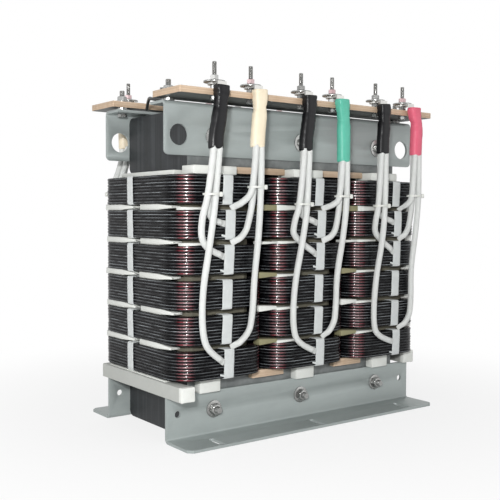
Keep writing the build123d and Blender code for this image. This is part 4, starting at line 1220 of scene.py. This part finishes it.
class SetStage(bpy.types.Operator):
    """Lay the floor, hang the lamps, light the world and place the camera"""
    bl_idname = "transformer.set_stage"
    bl_label = "Set stage"

    def lamp(self, name, place, target, size, power):
        data = bpy.data.lights.new(name, "AREA")
        data.shape, data.size, data.energy = "DISK", size, power
        lamp = bpy.data.objects.new(name, data)
        lamp.location = place
        aim = lamp.location - type(lamp.location)(target)
        lamp.rotation_euler = aim.to_track_quat("Z", "Y").to_euler()
        bpy.context.scene.collection.objects.link(lamp)

    def execute(self, context):
        s = settings(context, "stage")
        scene = context.scene
        mesh = bpy.data.meshes.new("floor")
        reach = 9.0
        mesh.from_pydata([(-reach, -reach, 0), (reach, -reach, 0), (reach, reach, 0),
                          (-reach, reach, 0)], [], [(0, 1, 2, 3)])
        floor = bpy.data.objects.new("floor", mesh)
        scene.collection.objects.link(floor)
        material = bpy.data.materials.new("floor_white")
        material.use_nodes = True
        tree = material.node_tree
        base = tree.nodes["Principled BSDF"]
        base.inputs["Base Color"].default_value = (0.86, 0.86, 0.86, 1)
        base.inputs["Roughness"].default_value = 0.9
        glow = tree.nodes.new("ShaderNodeEmission")
        blend = tree.nodes.new("ShaderNodeMixShader")
        # the floor fades to plain white away from the object, and keeps its shadow near it
        place = tree.nodes.new("ShaderNodeTexCoord")
        far = tree.nodes.new("ShaderNodeVectorMath")
        far.operation = "LENGTH"
        fade = tree.nodes.new("ShaderNodeMapRange")
        fade.interpolation_type = "SMOOTHSTEP"
        tree.links.new(place.outputs["Object"], far.inputs[0])
        tree.links.new(far.outputs["Value"], fade.inputs[0])
        for index, value in ((1, 0.3), (2, 1.0), (3, 0.78), (4, 1.0)):
            fade.inputs[index].default_value = value
        share = tree.nodes.new("ShaderNodeMath")
        share.operation = "MULTIPLY"
        tree.links.new(shown_white(material, 0.0, 1.0), share.inputs[0])
        tree.links.new(fade.outputs[0], share.inputs[1])
        tree.links.new(share.outputs[0], blend.inputs[0])
        tree.links.new(base.outputs[0], blend.inputs[1])
        tree.links.new(glow.outputs[0], blend.inputs[2])
        tree.links.new(blend.outputs[0], tree.nodes["Material Output"].inputs[0])
        mesh.materials.append(material)

        scene.world = bpy.data.worlds.new("studio")
        scene.world.use_nodes = True
        background = scene.world.node_tree.nodes["Background"]
        background.inputs["Color"].default_value = (1, 1, 1, 1)
        scene.world.node_tree.links.new(shown_white(scene.world, 0.27, 1.0),
                                        background.inputs["Strength"])

        middle = (0.0, 0.0, 0.33)
        self.lamp("key", (-1.2, -1.38, 0.62), middle, 0.13, 22)
        self.lamp("left", (-2.3, 0.1, 0.9), middle, 1.2, 10)
        self.lamp("fill", (1.2, -2.0, 0.8), middle, 1.6, 6)
        self.lamp("top", (0.2, 0.3, 2.4), middle, 1.8, 10)

        data = bpy.data.cameras.new("camera")
        data.sensor_width, data.lens, data.clip_start = 36.0, s.lens, 0.01
        camera = bpy.data.objects.new("camera", data)
        turn = Euler((math.pi / 2 + s.pitch, 0, -s.yaw)).to_matrix().to_4x4()
        camera.matrix_world = (Matrix.Translation(s.place) @ turn
                               @ Matrix.Rotation(s.roll, 4, "Z"))
        scene.collection.objects.link(camera)
        scene.camera = camera
        scene.view_settings.view_transform = "Standard"
        return {"FINISHED"}


OPERATORS = (WindCoils, BindTapes, RunLeads, ShrinkSleeves, TieLeads, RunStrap, FitFasteners,
             FinishFrame, FitInsulation, SetStage)


class TransformerPanel(bpy.types.Panel):
    """Sizes, colours and pieces of the transformer"""
    bl_label = "Transformer"
    bl_idname = "VIEW3D_PT_transformer"
    bl_space_type = "VIEW_3D"
    bl_region_type = "UI"
    bl_category = "Transformer"

    def draw(self, context):
        for name, group in SETTINGS.items():
            column = self.layout.column(heading=name.capitalize())
            for key in group.__annotations__:
                column.prop(settings(context, name), key)
        for operator in OPERATORS:
            self.layout.operator(operator.bl_idname)


def register():
    for group in SETTINGS.values():
        bpy.utils.register_class(group)
    for name, group in SETTINGS.items():
        setattr(bpy.types.Scene, f"transformer_{name}", bpy.props.PointerProperty(type=group))
    for operator in OPERATORS:
        bpy.utils.register_class(operator)
    bpy.utils.register_class(TransformerPanel)


def unregister():
    bpy.utils.unregister_class(TransformerPanel)
    for operator in reversed(OPERATORS):
        bpy.utils.unregister_class(operator)
    for name in SETTINGS:
        delattr(bpy.types.Scene, f"transformer_{name}")
    for group in SETTINGS.values():
        bpy.utils.unregister_class(group)


def main():
    register()
    bpy.ops.transformer.wind_coils()
    bpy.ops.transformer.bind_tapes()
    bpy.ops.transformer.run_leads()
    bpy.ops.transformer.shrink_sleeves()
    bpy.ops.transformer.tie_leads()
    bpy.ops.transformer.run_strap()
    bpy.ops.transformer.fit_fasteners()
    bpy.ops.transformer.finish_frame()
    bpy.ops.transformer.fit_insulation()
    bpy.ops.transformer.set_stage()


if __name__ == "__main__":
    main()
